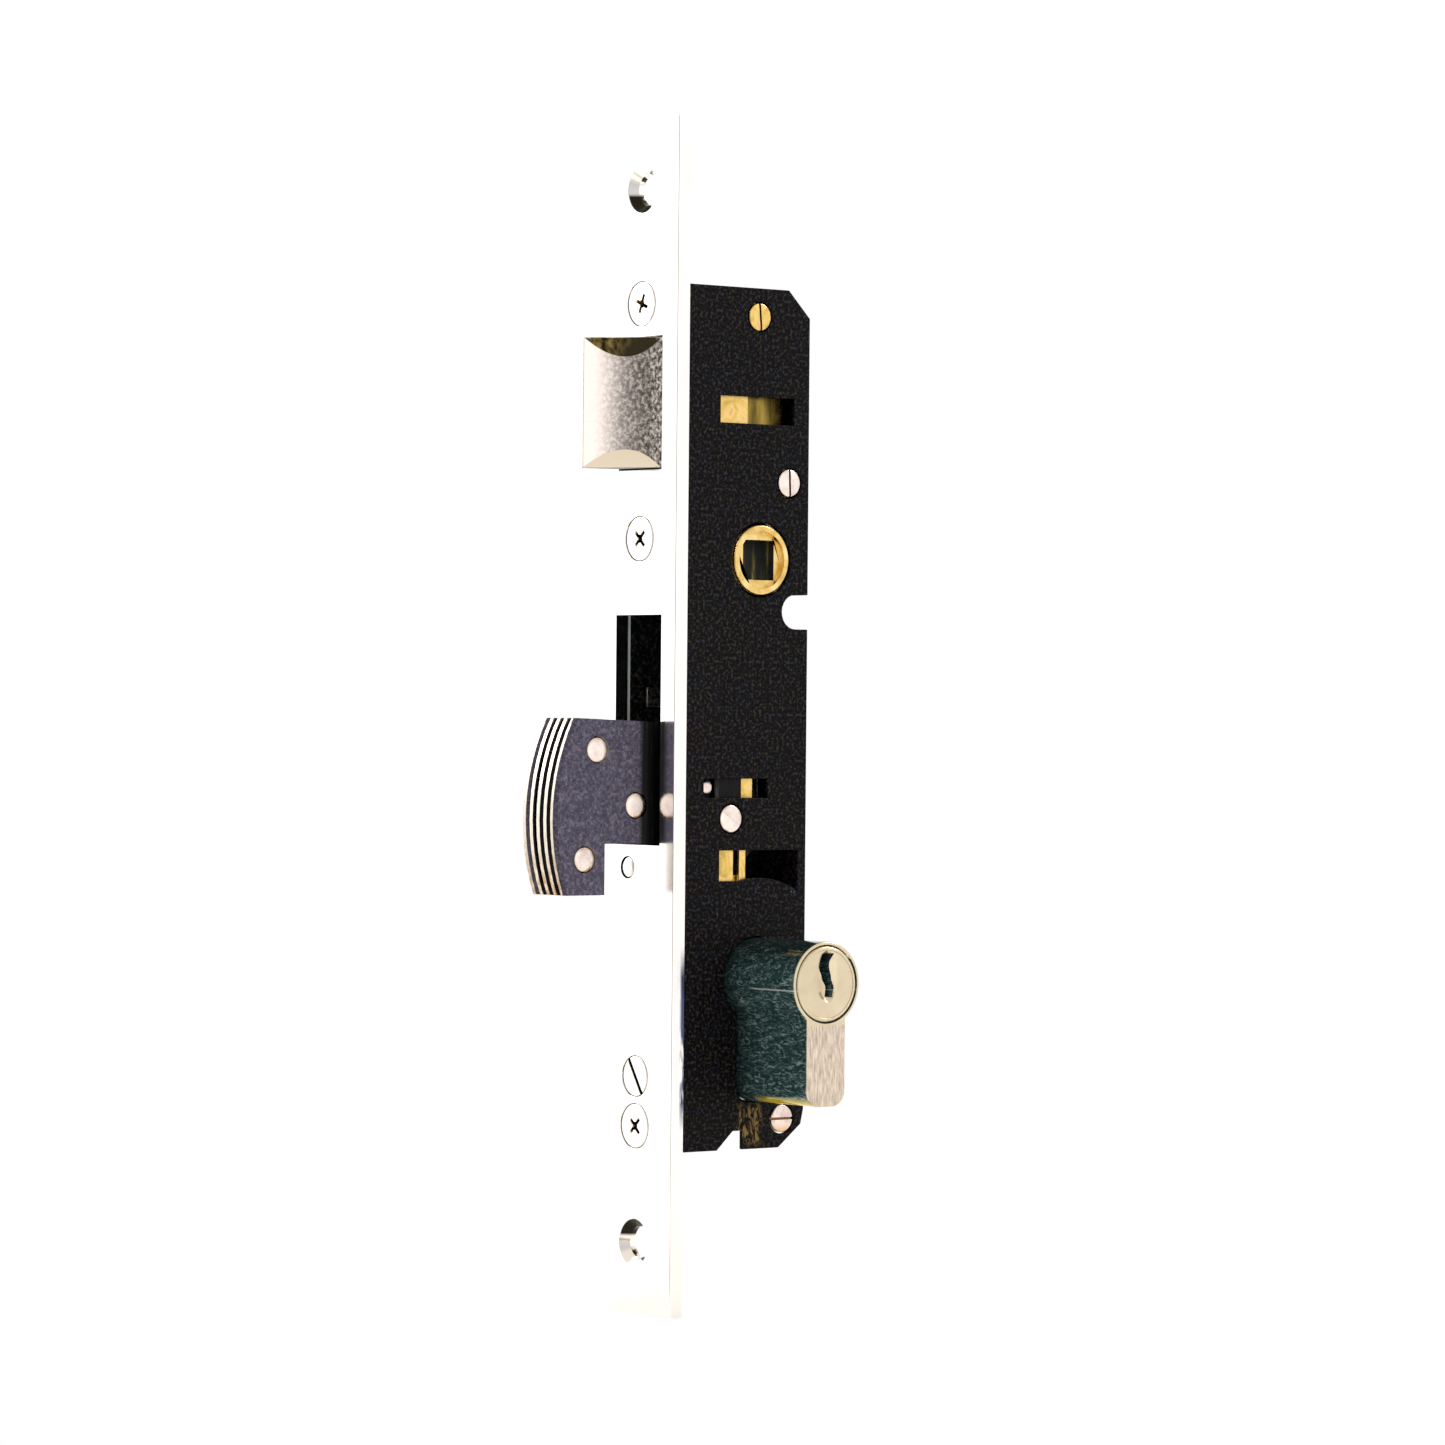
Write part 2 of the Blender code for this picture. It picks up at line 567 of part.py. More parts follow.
def make_case_posts(build):
    """The posts between the side plates, each with a slotted screw through the cover."""
    post = (COVER_IN_Y + 0.2 * MM, CASE_IN_Y - GAP)
    head = (-CASE_OUT_Y - CASE_SCREW_PROUD, COVER_IN_Y - 0.1 * MM)
    shank_r = POST_BORE_R - GAP
    chamfer = 0.2 * MM
    profile = [(head[0], POST_R - chamfer), (head[0] + chamfer, POST_R), (head[1], POST_R),
               (head[1], shank_r), (post[0] + POST_BORE_DEPTH - OVER, shank_r)]
    slot_y = (head[0] - OVER, head[0] + CASE_SCREW_SLOT_DEPTH)
    for place, (x, z) in POSTS.items():
        bore = rod_y(x, z, POST_BORE_R, (post[0] - OVER, post[0] + POST_BORE_DEPTH), 10)
        build.piece(f"case_post_{place}", rod_y(x, z, POST_R, post), "yellow_zinc", cut=[bore])
        slot = box((x - POST_R - OVER, x + POST_R + OVER), slot_y,
                   (z - CASE_SCREW_SLOT / 2, z + CASE_SCREW_SLOT / 2))
        turn = Matrix.Rotation(math.radians(CASE_SCREW_TURNS[place]), 3, "Y")
        bmesh.ops.rotate(slot, verts=slot.verts, cent=(x, 0, z), matrix=turn)
        screw = lathe(profile, "Y", (x, 0, z), 16)
        build.piece(f"case_screw_{place}", screw, CASE_SCREW_MATERIALS[place], cut=[slot])


def make_case_fittings(build):
    pin = (-CASE_OUT_Y - 0.2 * MM, CASE_OUT_Y + 0.2 * MM)
    build.piece("bolt_pivot_pin", rod_y(PIVOT_X, PIVOT_Z, PIVOT_PIN_R, pin), "zinc_steel")
    strip = box(DETENT_X, (BOLT_FAR_Y + GAP, CASE_IN_Y - GAP), DETENT_Z)
    build.piece("detent_spring", strip, "spring_steel")
    low, high = (LATCH_Z + rise for rise in LATCH_GUIDE_RISE)
    plate = box(LATCH_GUIDE_X, LATCH_GUIDE_Y, (low, high))
    inset = 0.2 * MM
    ear = box((LATCH_GUIDE_X[1] - LATCH_GUIDE_EAR, LATCH_GUIDE_X[1] - inset / 2),
              (LATCH_GUIDE_Y[0] + inset, CASE_IN_Y - 2 * GAP), (low + inset, high - inset))
    build.piece("latch_guide", plate, "brass", add=[ear])


# ---------------------------------------------------------------- hub

def make_hub(build):
    joint = build.joint("hub_axis", (BACKSET, 0, HUB_Z))
    outline = disc_with_arm((BACKSET, HUB_Z), HUB_DISC_R, HUB_ARM_REACH + HUB_ARM_HALF, HUB_ARM_HALF,
                            HUB_ARM_REST_DEG)
    end = CASE_OUT_Y + GAP
    half = SPINDLE_SIZE / 2
    cuts = [box((BACKSET - half, BACKSET + half), (-end - OVER, end + OVER), (HUB_Z - half, HUB_Z + half))]
    cuts += [rod_y(BACKSET, HUB_Z, HUB_RECESS_R, y, 24)
             for y in ((-end - OVER, HUB_RECESS_DEPTH - end), (end - HUB_RECESS_DEPTH, end + OVER))]
    build.piece("hub", prism(outline, (-HUB_DISC_HALF, HUB_DISC_HALF)), "brass", joint,
                add=[rod_y(BACKSET, HUB_Z, HUB_JOURNAL_R, (-end, end), 24)], cut=cuts)
    points = coil_points("Y", (BACKSET, 0, HUB_Z), HUB_JOURNAL_R + GAP + 2 * HUB_SPRING_WIRE,
                         (HUB_SPRING_START_Y, -HUB_DISC_HALF - 2 * HUB_SPRING_WIRE), 2.25, 16)
    build.piece("hub_spring", tube_along(points, HUB_SPRING_WIRE), "spring_steel")


# ---------------------------------------------------------------- latch

def latch_head_mesh(columns=10):
    """The bevelled head; its working face is hollowed by a scoop with sloping ends."""
    tip = Vector((LATCH_TIP_X, LATCH_HALF_WIDTH - LATCH_TIP_FLAT))
    base = Vector((LATCH_BASE_X, -LATCH_HALF_WIDTH))
    chord = tip - base
    inward = Vector((chord.y, -chord.x)).normalized()
    mesh = bmesh.new()
    rows = [[], [], [], []]
    for i in range(columns + 1):
        u = i / columns
        depth = LATCH_SCOOP * (1 - (2 * u - 1) ** 2)
        rise = LATCH_SCOOP_END * depth / LATCH_SCOOP
        flat = base + chord * u
        deep = flat + inward * depth
        for row, (point, z) in zip(rows, ((flat, 1), (deep, 1), (deep, -1), (flat, -1))):
            height = LATCH_HALF_HEIGHT - (rise if row in (rows[1], rows[2]) else 0)
            row.append(mesh.verts.new((point.x, point.y, LATCH_Z + z * height)))
    for upper, lower in zip(rows, rows[1:]):
        for i in range(columns):
            mesh.faces.new((upper[i], upper[i + 1], lower[i + 1], lower[i]))
    corners = [(LATCH_TIP_X, LATCH_HALF_WIDTH), (LATCH_BACK_X, LATCH_HALF_WIDTH),
               (LATCH_BACK_X, -LATCH_HALF_WIDTH)]
    top = [mesh.verts.new((x, y, LATCH_Z + LATCH_HALF_HEIGHT)) for x, y in corners]
    bottom = [mesh.verts.new((x, y, LATCH_Z - LATCH_HALF_HEIGHT)) for x, y in corners]
    mesh.faces.new(rows[0] + top)
    mesh.faces.new(list(reversed(rows[3] + bottom)))
    mesh.faces.new((top[0], top[1], bottom[1], bottom[0]))
    mesh.faces.new((top[1], top[2], bottom[2], bottom[1]))
    mesh.faces.new((rows[0][-1], top[0], bottom[0], rows[3][-1], rows[2][-1], rows[1][-1]))
    mesh.faces.new((top[2], rows[0][0], rows[1][0], rows[2][0], rows[3][0], bottom[2]))
    bmesh.ops.remove_doubles(mesh, verts=mesh.verts, dist=1e-7)
    bmesh.ops.recalc_face_normals(mesh, faces=mesh.faces)
    return mesh


def make_latch(build):
    joint = build.joint("latch_travel", (0, 0, LATCH_Z))
    low, high = (LATCH_Z + rise for rise in LATCH_TAIL_RISE)
    behind = LATCH_BACK_X + OVER
    near, far = LATCH_TAIL_Y
    seat_r = LATCH_SPRING_R + LATCH_SPRING_WIRE / 2 + GAP
    hole_r = LATCH_PIN_R + GAP
    cuts = [box((LATCH_STEP_X, behind), (near - OVER, far + GAP), (low - GAP, high + GAP)),
            rod_x(LATCH_SPRING_Y, LATCH_Z, seat_r, (LATCH_SEAT_X, behind)),
            rod_y(LATCH_PIN_X, LATCH_Z, hole_r, (near, LATCH_PIN_END_Y + GAP), 10)]
    build.piece("latch_head", latch_head_mesh(), "cast_nickel", joint, cut=cuts)
    plate = box((LATCH_STEP_X + GAP, LATCH_TAIL_END), LATCH_TAIL_Y, (low, high))
    lug = box((LATCH_TAIL_END - LATCH_LUG_LENGTH, LATCH_TAIL_END - 0.1 * MM),
              (near + 0.2 * MM, LATCH_LUG_FAR_Y), tuple(LATCH_Z + rise for rise in LATCH_LUG_RISE))
    hole = rod_y(LATCH_PIN_X, LATCH_Z, hole_r, (near - OVER, far + OVER), 10)
    build.piece("latch_tail", plate, "yellow_zinc", joint, add=[lug], cut=[hole])
    pin = rod_y(LATCH_PIN_X, LATCH_Z, LATCH_PIN_R, (near + 0.1 * MM, LATCH_PIN_END_Y), 10)
    build.piece("latch_pin", pin, "zinc_steel", joint)
    spring_x = (LATCH_SEAT_X + LATCH_SPRING_WIRE, LATCH_GUIDE_X[1] - LATCH_GUIDE_EAR - LATCH_SPRING_WIRE)
    points = coil_points("X", (0, LATCH_SPRING_Y, LATCH_Z), LATCH_SPRING_R, spring_x, 8)
    build.piece("latch_spring", tube_along(points, LATCH_SPRING_WIRE / 2), "spring_steel")


# ---------------------------------------------------------------- hook bolt

def bolt_outline():
    """Side view of one plate of the bolt, thrown."""
    def on_rim(height):
        return math.degrees(math.atan2(height, -math.sqrt(BOLT_R ** 2 - height ** 2))) % 360
    pivot = (PIVOT_X, PIVOT_Z)
    rim = arc(pivot, BOLT_R, on_rim(BOLT_TOP), on_rim(BOLT_HOOK_BOTTOM), 12)
    throat = PIVOT_X + BOLT_THROAT
    under = PIVOT_Z + BOLT_UNDERSIDE
    root_start = 180 + math.degrees(math.asin(-BOLT_UNDERSIDE / BOLT_ROOT_R))
    root = arc(pivot, BOLT_ROOT_R, root_start, 360 + 60, 12)
    back = [(PIVOT_X + x, PIVOT_Z + z) for x, z in (BOLT_HEEL, BOLT_SHOULDER)]
    return rim + [(throat, PIVOT_Z + BOLT_HOOK_BOTTOM), (throat, under)] + root + back


def make_bolt(build):
    joint = build.joint("bolt_pivot", (PIVOT_X, 0, PIVOT_Z))
    outline = bolt_outline()
    pin = (PIVOT_X + DRIVE_PIN[0], PIVOT_Z + DRIVE_PIN[1])
    for k in range(BOLT_PLATES):
        low = BOLT_NEAR_Y + k * BOLT_PITCH
        y = (low, low + BOLT_PLATE_THICK)
        through = (y[0] - OVER, y[1] + OVER)
        cuts = [rod_y(PIVOT_X, PIVOT_Z, PIVOT_PIN_R + GAP, through)]
        cuts += [rod_y(x, z, BOLT_RIVET_R + GAP, through, 12) for x, z in BOLT_RIVETS.values()]
        if k == 0:
            cuts.append(rod_y(*pin, DRIVE_PIN_R + GAP, through, 12))
        material = "dark_steel" if k in (0, BOLT_PLATES - 1) else "ground_steel"
        build.piece(f"bolt_plate_{k + 1}", prism(outline, y), material, joint, cut=cuts)
    for place, (x, z) in BOLT_RIVETS.items():
        rivet = rod_y(x, z, BOLT_RIVET_R, (BOLT_NEAR_Y - 0.1 * MM, BOLT_FAR_Y + 0.1 * MM), 12)
        build.piece(f"bolt_rivet_{place}", rivet, "zinc_steel", joint)
    drive = rod_y(*pin, DRIVE_PIN_R, (COVER_IN_Y + 0.2 * MM, BOLT_NEAR_Y + BOLT_PLATE_THICK), 12)
    build.piece("drive_pin", drive, "zinc_steel", joint)


# ---------------------------------------------------------------- drive slide

def make_slide(build):
    joint = build.joint("slide_travel", (PIVOT_X, 0, SLIDE_BAR_Z[0]))
    bottom, bar_top = SLIDE_BAR_Z
    head_low, head_high = SLIDE_HEAD_Z
    corner = SLIDE_HEAD_CORNER
    outline = [(SLIDE_BAR_X[0], bottom), (SLIDE_LEG_X[1], bottom), (SLIDE_LEG_X[1], head_low),
               (SLIDE_HEAD_X[1] - corner, head_low), (SLIDE_HEAD_X[1], head_low + corner),
               (SLIDE_HEAD_X[1], head_high - corner), (SLIDE_HEAD_X[1] - corner, head_high),
               (SLIDE_HEAD_X[0] + corner, head_high), (SLIDE_HEAD_X[0], head_high - corner),
               (SLIDE_HEAD_X[0], head_low), (SLIDE_LEG_X[0], head_low - GAP),
               (SLIDE_LEG_X[0], SLIDE_FOOT_TOP), (SLIDE_BAR_X[1], SLIDE_FOOT_TOP),
               (SLIDE_BAR_X[1], bar_top), (SLIDE_BAR_X[0], bar_top)]
    build.piece("drive_slide", prism(outline, SLIDE_Y), "yellow_zinc", joint)

    pin_x = PIVOT_X + DRIVE_PIN[0]
    pin_room = DRIVE_PIN_R + SLIDE_SLOT_PLAY
    swing = math.radians(BOLT_SWING_DEG)
    pin_end = DRIVE_PIN[1] * math.cos(swing) - DRIVE_PIN[0] * math.sin(swing)
    pin_peak = math.hypot(*DRIVE_PIN)
    slot = box((pin_x - pin_room, pin_x + pin_room), (SLIDE_Y[0] - OVER, SLIDE_Y[1] + OVER),
               (PIVOT_Z + pin_end - DRIVE_PIN_R - GAP, PIVOT_Z + pin_peak + pin_room))
    arm = box((pin_x - SLIDE_ARM_FRONT, SLIDE_HEAD_X[0] - GAP), SLIDE_Y, SLIDE_ARM_Z)
    build.piece("slide_arm", arm, "dark_steel", joint, cut=[slot])
    driver = box(SLIDE_DRIVER_X, (SLIDE_Y[1] + GAP, BOLT_FAR_Y), (bottom, SLIDE_DRIVER_TOP))
    build.piece("slide_driver", driver, "yellow_zinc", joint)


# ---------------------------------------------------------------- cylinder

def keyway(y):
    """A stepped, S-shaped key slot; its corners are offsets from the cylinder's axis."""
    slot = 1.8 * MM
    left = (-0.9 * MM, -1.9 * MM, -0.3 * MM)
    right = (0.9 * MM, -0.4 * MM, 1.1 * MM)
    corners = [(left[0], KEYWAY_TOP), (left[0], 4.4 * MM), (left[1], 3.4 * MM), (left[1], 1.2 * MM),
               (left[2], 0.4 * MM), (left[2], KEYWAY_BOTTOM), (right[2], KEYWAY_BOTTOM),
               (right[2], 1.6 * MM), (right[1], 2.4 * MM), (left[0] + slot, 3.9 * MM),
               (right[0], KEYWAY_TOP)]
    return prism([(BACKSET + x, z) for x, z in corners], y)


def pin_ys():
    return [PIN_FIRST_Y + i * PIN_PITCH for i in range(PIN_COUNT)]


def pin_bores(z):
    """Cutters for the bores the pins run in, between the two values of z."""
    return [rod("Z", (BACKSET, y, 0), PIN_BORE_R, z, 8) for y in pin_ys()]


def make_cylinder(build):
    end = CYL_HALF_LENGTH
    step = end - PLUG_FACE_DEPTH - GAP
    profile = [(-end - OVER, PLUG_FACE_R + GAP), (-step, PLUG_FACE_R + GAP), (-step, PLUG_R + GAP),
               (step, PLUG_R + GAP), (step, PLUG_FACE_R + GAP), (end + OVER, PLUG_FACE_R + GAP)]
    cuts = [lathe(profile, "Y", (BACKSET, 0, 0), 28),
            box((BACKSET - CAM_REACH, BACKSET + CAM_REACH), (-CAM_SLOT_HALF, CAM_SLOT_HALF), CAM_ROOM_Z),
            rod_x(0, CYL_FIX_Z, CYL_SCREW_R + GAP,
                  (BACKSET - 2 * CYL_LOBE_HALF, BACKSET + 2 * CYL_LOBE_HALF), 12)]
    build.piece("cylinder_body", prism(euro_outline(), (-end, end)), "champagne_nickel",
                cut=cuts + pin_bores((PIN_BORE_BOTTOM, KEYWAY_BOTTOM - 2 * MM)))

    joint = build.joint("cylinder_axis", (BACKSET, 0, 0))
    edge = 0.2 * MM
    proud = 0.1 * MM
    for name, side in (("plug_near", -1), ("plug_far", 1)):
        profile = [(side * (end + proud), PLUG_FACE_R - edge), (side * (end + proud - edge), PLUG_FACE_R),
                   (side * (end - PLUG_FACE_DEPTH), PLUG_FACE_R), (side * (end - PLUG_FACE_DEPTH), PLUG_R),
                   (side * (CAM_HALF_WIDTH + GAP), PLUG_R)]
        cuts = [keyway(sorted((side * (end + OVER), side * (CAM_HALF_WIDTH + 3 * MM))))]
        if side < 0:
            cuts += pin_bores((-PLUG_R - OVER, KEYWAY_BOTTOM + 0.5 * MM))
        build.piece(name, lathe(profile, "Y", (BACKSET, 0, 0), 28), "champagne_nickel", joint, cut=cuts)
    outline = disc_with_arm((BACKSET, 0), PLUG_R, CAM_REACH, CAM_ARM_HALF, CAM_REST_DEG)
    build.piece("cam", prism(outline, (-CAM_HALF_WIDTH, CAM_HALF_WIDTH)), "zinc_steel", joint)
    make_pins(build, joint)


def make_pins(build, plug_joint):
    """The key pins turn with the plug; the driver pins and their springs stay in the body."""
    key_bottom = 0.1 * MM - math.sqrt(PLUG_R ** 2 - PIN_R ** 2)
    driver_top = -PLUG_R - 1.5 * GAP
    driver_bottom = driver_top - DRIVER_LENGTH
    wire = PIN_SPRING_WIRE
    for i, y in enumerate(pin_ys(), start=1):
        at = (BACKSET, y, 0)
        key_pin = rod("Z", at, PIN_R, (key_bottom, KEYWAY_BOTTOM - GAP), 8)
        build.piece(f"key_pin_{i}", key_pin, "brass", plug_joint)
        build.piece(f"driver_pin_{i}", rod("Z", at, PIN_R, (driver_bottom, driver_top), 8), "zinc_steel")
        ends = (PIN_BORE_BOTTOM + 2 * wire, driver_bottom - GAP - wire)
        points = coil_points("Z", at, PIN_R - wire, ends, 5, 6)
        build.piece(f"pin_spring_{i}", tube_along(points, wire, 4), "spring_steel")


def main():
    clear_scene()
    build = Builder()
    make_faceplate(build)
    make_faceplate_screws(build)
    make_case(build)
    make_front_lugs(build)
    make_case_posts(build)
    make_case_fittings(build)
    make_hub(build)
    make_latch(build)
    make_bolt(build)
    make_slide(build)
    make_cylinder(build)


main()
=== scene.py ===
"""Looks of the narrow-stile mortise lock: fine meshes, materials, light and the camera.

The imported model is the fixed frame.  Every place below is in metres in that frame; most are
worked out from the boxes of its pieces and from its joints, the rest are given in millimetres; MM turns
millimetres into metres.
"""
import functools
import json
import math

import bmesh
import bpy
from mathutils import Matrix, Vector


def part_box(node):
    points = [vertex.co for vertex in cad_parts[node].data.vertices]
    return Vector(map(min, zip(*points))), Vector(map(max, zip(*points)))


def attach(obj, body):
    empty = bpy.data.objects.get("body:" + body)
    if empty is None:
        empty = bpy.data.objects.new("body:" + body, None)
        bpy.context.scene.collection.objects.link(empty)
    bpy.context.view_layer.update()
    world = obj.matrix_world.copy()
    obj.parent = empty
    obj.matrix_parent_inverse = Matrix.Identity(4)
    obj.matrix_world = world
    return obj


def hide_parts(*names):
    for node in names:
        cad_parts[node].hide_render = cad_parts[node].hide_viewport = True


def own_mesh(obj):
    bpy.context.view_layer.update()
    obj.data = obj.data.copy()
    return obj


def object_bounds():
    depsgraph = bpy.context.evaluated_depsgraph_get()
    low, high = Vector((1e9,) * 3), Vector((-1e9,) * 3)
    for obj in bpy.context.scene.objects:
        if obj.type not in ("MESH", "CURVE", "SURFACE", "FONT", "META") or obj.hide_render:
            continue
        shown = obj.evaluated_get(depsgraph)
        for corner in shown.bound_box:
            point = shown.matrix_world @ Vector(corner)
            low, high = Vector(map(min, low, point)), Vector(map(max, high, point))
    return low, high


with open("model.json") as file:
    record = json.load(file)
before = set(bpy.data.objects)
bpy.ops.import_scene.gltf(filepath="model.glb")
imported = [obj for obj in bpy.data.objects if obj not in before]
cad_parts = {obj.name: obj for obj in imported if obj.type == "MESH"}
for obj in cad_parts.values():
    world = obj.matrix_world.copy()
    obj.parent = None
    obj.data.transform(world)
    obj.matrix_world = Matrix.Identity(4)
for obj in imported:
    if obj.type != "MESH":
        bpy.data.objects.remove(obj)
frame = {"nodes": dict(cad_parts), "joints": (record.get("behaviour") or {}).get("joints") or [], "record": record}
CAD_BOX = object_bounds()

MM = 0.001
UM = 0.001 * MM
BODIES = frame["record"]["behaviour"]["bodies"]
BODY_OF = {node: body for body, nodes in BODIES.items() for node in nodes}
JOINTS = {joint["name"]: joint for joint in frame["joints"]}
AXES = {"X": Matrix(((0, 0, 1), (1, 0, 0), (0, 1, 0))),
        "Y": Matrix(((1, 0, 0), (0, 0, 1), (0, -1, 0))),
        "Z": Matrix.Identity(3)}

SMOOTH_DEG = 38.0           # a crease sharper than this stays a crease in the shading
ROUND = 64                  # segments of a turned piece that shows
OVER = 1 * MM               # how far a cutter reaches past what it cuts
GAP = 0.3 * MM              # room left round a piece that sits in a hole

MOUNT_HOLES_Z = (159.0 * MM, -52.6 * MM)
CROSS_TURNS = {"faceplate_screw_top": 22, "faceplate_screw_middle": 45, "faceplate_screw_bottom": 45}
FIXING_TURN = 58
CASE_SCREW_TURNS = {"case_screw_top": 85, "case_screw_middle": 88, "case_screw_bottom": 0}
PIVOT_SCORE_TURN = 35

# Where the looks change, besides what the boxes of the pieces tell
HOLE_SHADE_REACH = 6 * MM                                    # reach of the painted shade and painted reflections round the faceplate's own holes
CYLINDER_REFLECTION_Z = (-27 * MM, 4 * MM)                            # painted reflection of the cylinder on the faceplate's side edge
WORN_X, WORN_Z = (20.2 * MM, 26.2 * MM), (-33.2 * MM, -25.5 * MM)
SPECKLED_X, SPECKLED_Z = (13 * MM, 36 * MM), (12 * MM, 19 * MM)
BARE_EDGE_Y, BARE_EDGE_Z = (6.4 * MM, 6.6 * MM), (28 * MM, 74 * MM)
RECESS_X = (0.25 * MM, 3 * MM)                          # painted shade inside the faceplate's screw heads
SAWN_SLOT_Y = (-7.95 * MM, -7.2 * MM)                   # painted shade inside the case screws' slots
BRIGHT_LINE_Z = (-1.35 * MM, -1.1 * MM)                        # a thin bright line along the cylinder's side

# Camera: the three-quarter view of the faceplate's front and the case's cover
VIEW_AZIMUTH = -38.449
VIEW_ELEVATION = 0.080
VIEW_ROLL = 0.498
VIEW_DISTANCE = 1100 * MM
VIEW_TARGET = Vector((15.45, -7.88, 52.02)) * MM
LENS = 135.951


# ---------------- mesh helpers

def place(name, mesh):
    """A new object in the scene from a bmesh."""
    data = bpy.data.meshes.new(name)
    bmesh.ops.recalc_face_normals(mesh, faces=mesh.faces)
    mesh.to_mesh(data)
    mesh.free()
    obj = bpy.data.objects.new(name, data)
    bpy.context.scene.collection.objects.link(obj)
    return obj


def bake(obj):
    """Turns what the modifiers make into the object's own mesh."""
    bpy.context.view_layer.update()
    graph = bpy.context.evaluated_depsgraph_get()
    made = bpy.data.meshes.new_from_object(obj.evaluated_get(graph))
    old = obj.data
    obj.modifiers.clear()
    obj.data = made
    bpy.data.meshes.remove(old)


def combine(obj, tools, operation="DIFFERENCE"):
    """Cuts obj by the tools, or joins them to it, and removes them."""
    helpers = [place("helper", tool) for tool in tools]
    for helper in helpers:
        modifier = obj.modifiers.new("step", "BOOLEAN")
        modifier.operation = operation
        modifier.object = helper
    bake(obj)
    for helper in helpers:
        bpy.data.objects.remove(helper, do_unlink=True)
    return obj


def soften(obj, width, segments=2, from_deg=33.0):
    """Rounds the edges and keeps the flat faces flat in the shading."""
    if width:
        bevel = obj.modifiers.new("edges", "BEVEL")
        bevel.width = width
        bevel.segments = segments
        bevel.limit_method = "ANGLE"
        bevel.angle_limit = math.radians(from_deg)
        bake(obj)
    obj.data.shade_smooth()
    obj.data.set_sharp_from_angle(angle=math.radians(SMOOTH_DEG))
    normals = obj.modifiers.new("flat faces", "WEIGHTED_NORMAL")
    normals.keep_sharp = True
    return obj


def box(x, y, z):
    """A block between the two values of each pair."""
    mesh = bmesh.new()
    bmesh.ops.create_cube(mesh, size=1.0)
    size = Vector((x[1] - x[0], y[1] - y[0], z[1] - z[0]))
    centre = Vector((sum(x), sum(y), sum(z))) / 2
    for vert in mesh.verts:
        vert.co = Vector(a * b for a, b in zip(vert.co, size)) + centre
    return mesh


def loft(rings):
    """A closed mesh through rings of points, with flat ends."""
    mesh = bmesh.new()
    loops = [[mesh.verts.new(point) for point in ring] for ring in rings]
    count = len(rings[0])
    for lower, upper in zip(loops, loops[1:]):
        for i in range(count):
            j = (i + 1) % count
            mesh.faces.new((lower[i], lower[j], upper[j], upper[i]))
    mesh.faces.new(reversed(loops[0]))
    mesh.faces.new(loops[-1])
    return mesh


def prism(outline, y):
    """An outline of (x, z) points, extruded along Y between the two values of y."""
    return loft([[(px, level, pz) for px, pz in outline] for level in y])


def circle(count, radius=1.0):
    """Points (a, b) round a circle."""
    angles = (2 * math.pi * (i + 0.5) / count for i in range(count))
    return [(radius * math.cos(angle), radius * math.sin(angle)) for angle in angles]


def lathe(profile, axis, at, segments=ROUND):
    """Turns a profile of (along, radius) points about an axis through at; flat ends."""
    turn = AXES[axis]
    return loft([[turn @ Vector((a, b, along)) + Vector(at) for a, b in circle(segments, radius)]
                 for along, radius in profile])


def arc(centre, radius, start_deg, end_deg, steps):
    """Points on an arc; degrees are from +X towards +Z."""
    points = []
    for i in range(steps + 1):
        angle = math.radians(start_deg + (end_deg - start_deg) * i / steps)
        points.append((centre[0] + radius * math.cos(angle), centre[1] + radius * math.sin(angle)))
    return points


def tube_along(points, radius, sides=12):
    """A round wire through points, with flat ends."""
    rings = []
    side = None
    for i, point in enumerate(points):
        ahead = points[min(i + 1, len(points) - 1)]
        behind = points[max(i - 1, 0)]
        along = (ahead - behind).normalized()
        side = along.orthogonal() if side is None else side - along * side.dot(along)
        side.normalize()
        other = along.cross(side)
        rings.append([point + side * a + other * b for a, b in circle(sides, radius)])
    return loft(rings)


def coil_points(axis, at, radius, span, turns, steps_per_turn=40):
    """Points of a helix about an axis through at, between the two values of span."""
    steps = int(turns * steps_per_turn)
    points = []
    for i in range(steps + 1):
        angle = 2 * math.pi * i / steps_per_turn
        along = span[0] + (span[1] - span[0]) * i / steps
        local = Vector((radius * math.cos(angle), radius * math.sin(angle), along))
        points.append(AXES[axis] @ local + Vector(at))
    return points


def frustum(depth, front_half, deep_half):
    """A recess that narrows along +X from (half y, half z) at x = 0 to deep_half at depth."""
    grow = OVER / depth
    front = [a + (a - b) * grow for a, b in zip(front_half, deep_half)]
    corners = ((-1, -1), (1, -1), (1, 1), (-1, 1))
    return loft([[(x, half[0] * a, half[1] * b) for a, b in corners]
                 for x, half in ((-OVER, front), (depth, deep_half))])


def moved(mesh, turn, to):
    """The bmesh turned by a matrix and then moved."""
    bmesh.ops.rotate(mesh, verts=mesh.verts, cent=(0, 0, 0), matrix=turn)
    bmesh.ops.translate(mesh, verts=mesh.verts, vec=to)
    return mesh


def cad_copy(node):
    """A new object with a CAD node's shape, its flat faces made whole again."""
    mesh = bmesh.new()
    mesh.from_mesh(frame["nodes"][node].data)
    bmesh.ops.remove_doubles(mesh, verts=mesh.verts, dist=2 * UM)
    bmesh.ops.dissolve_limit(mesh, angle_limit=math.radians(0.5), verts=mesh.verts, edges=mesh.edges)
    return place(f"fine_{node}", mesh)


# ---------------- materials

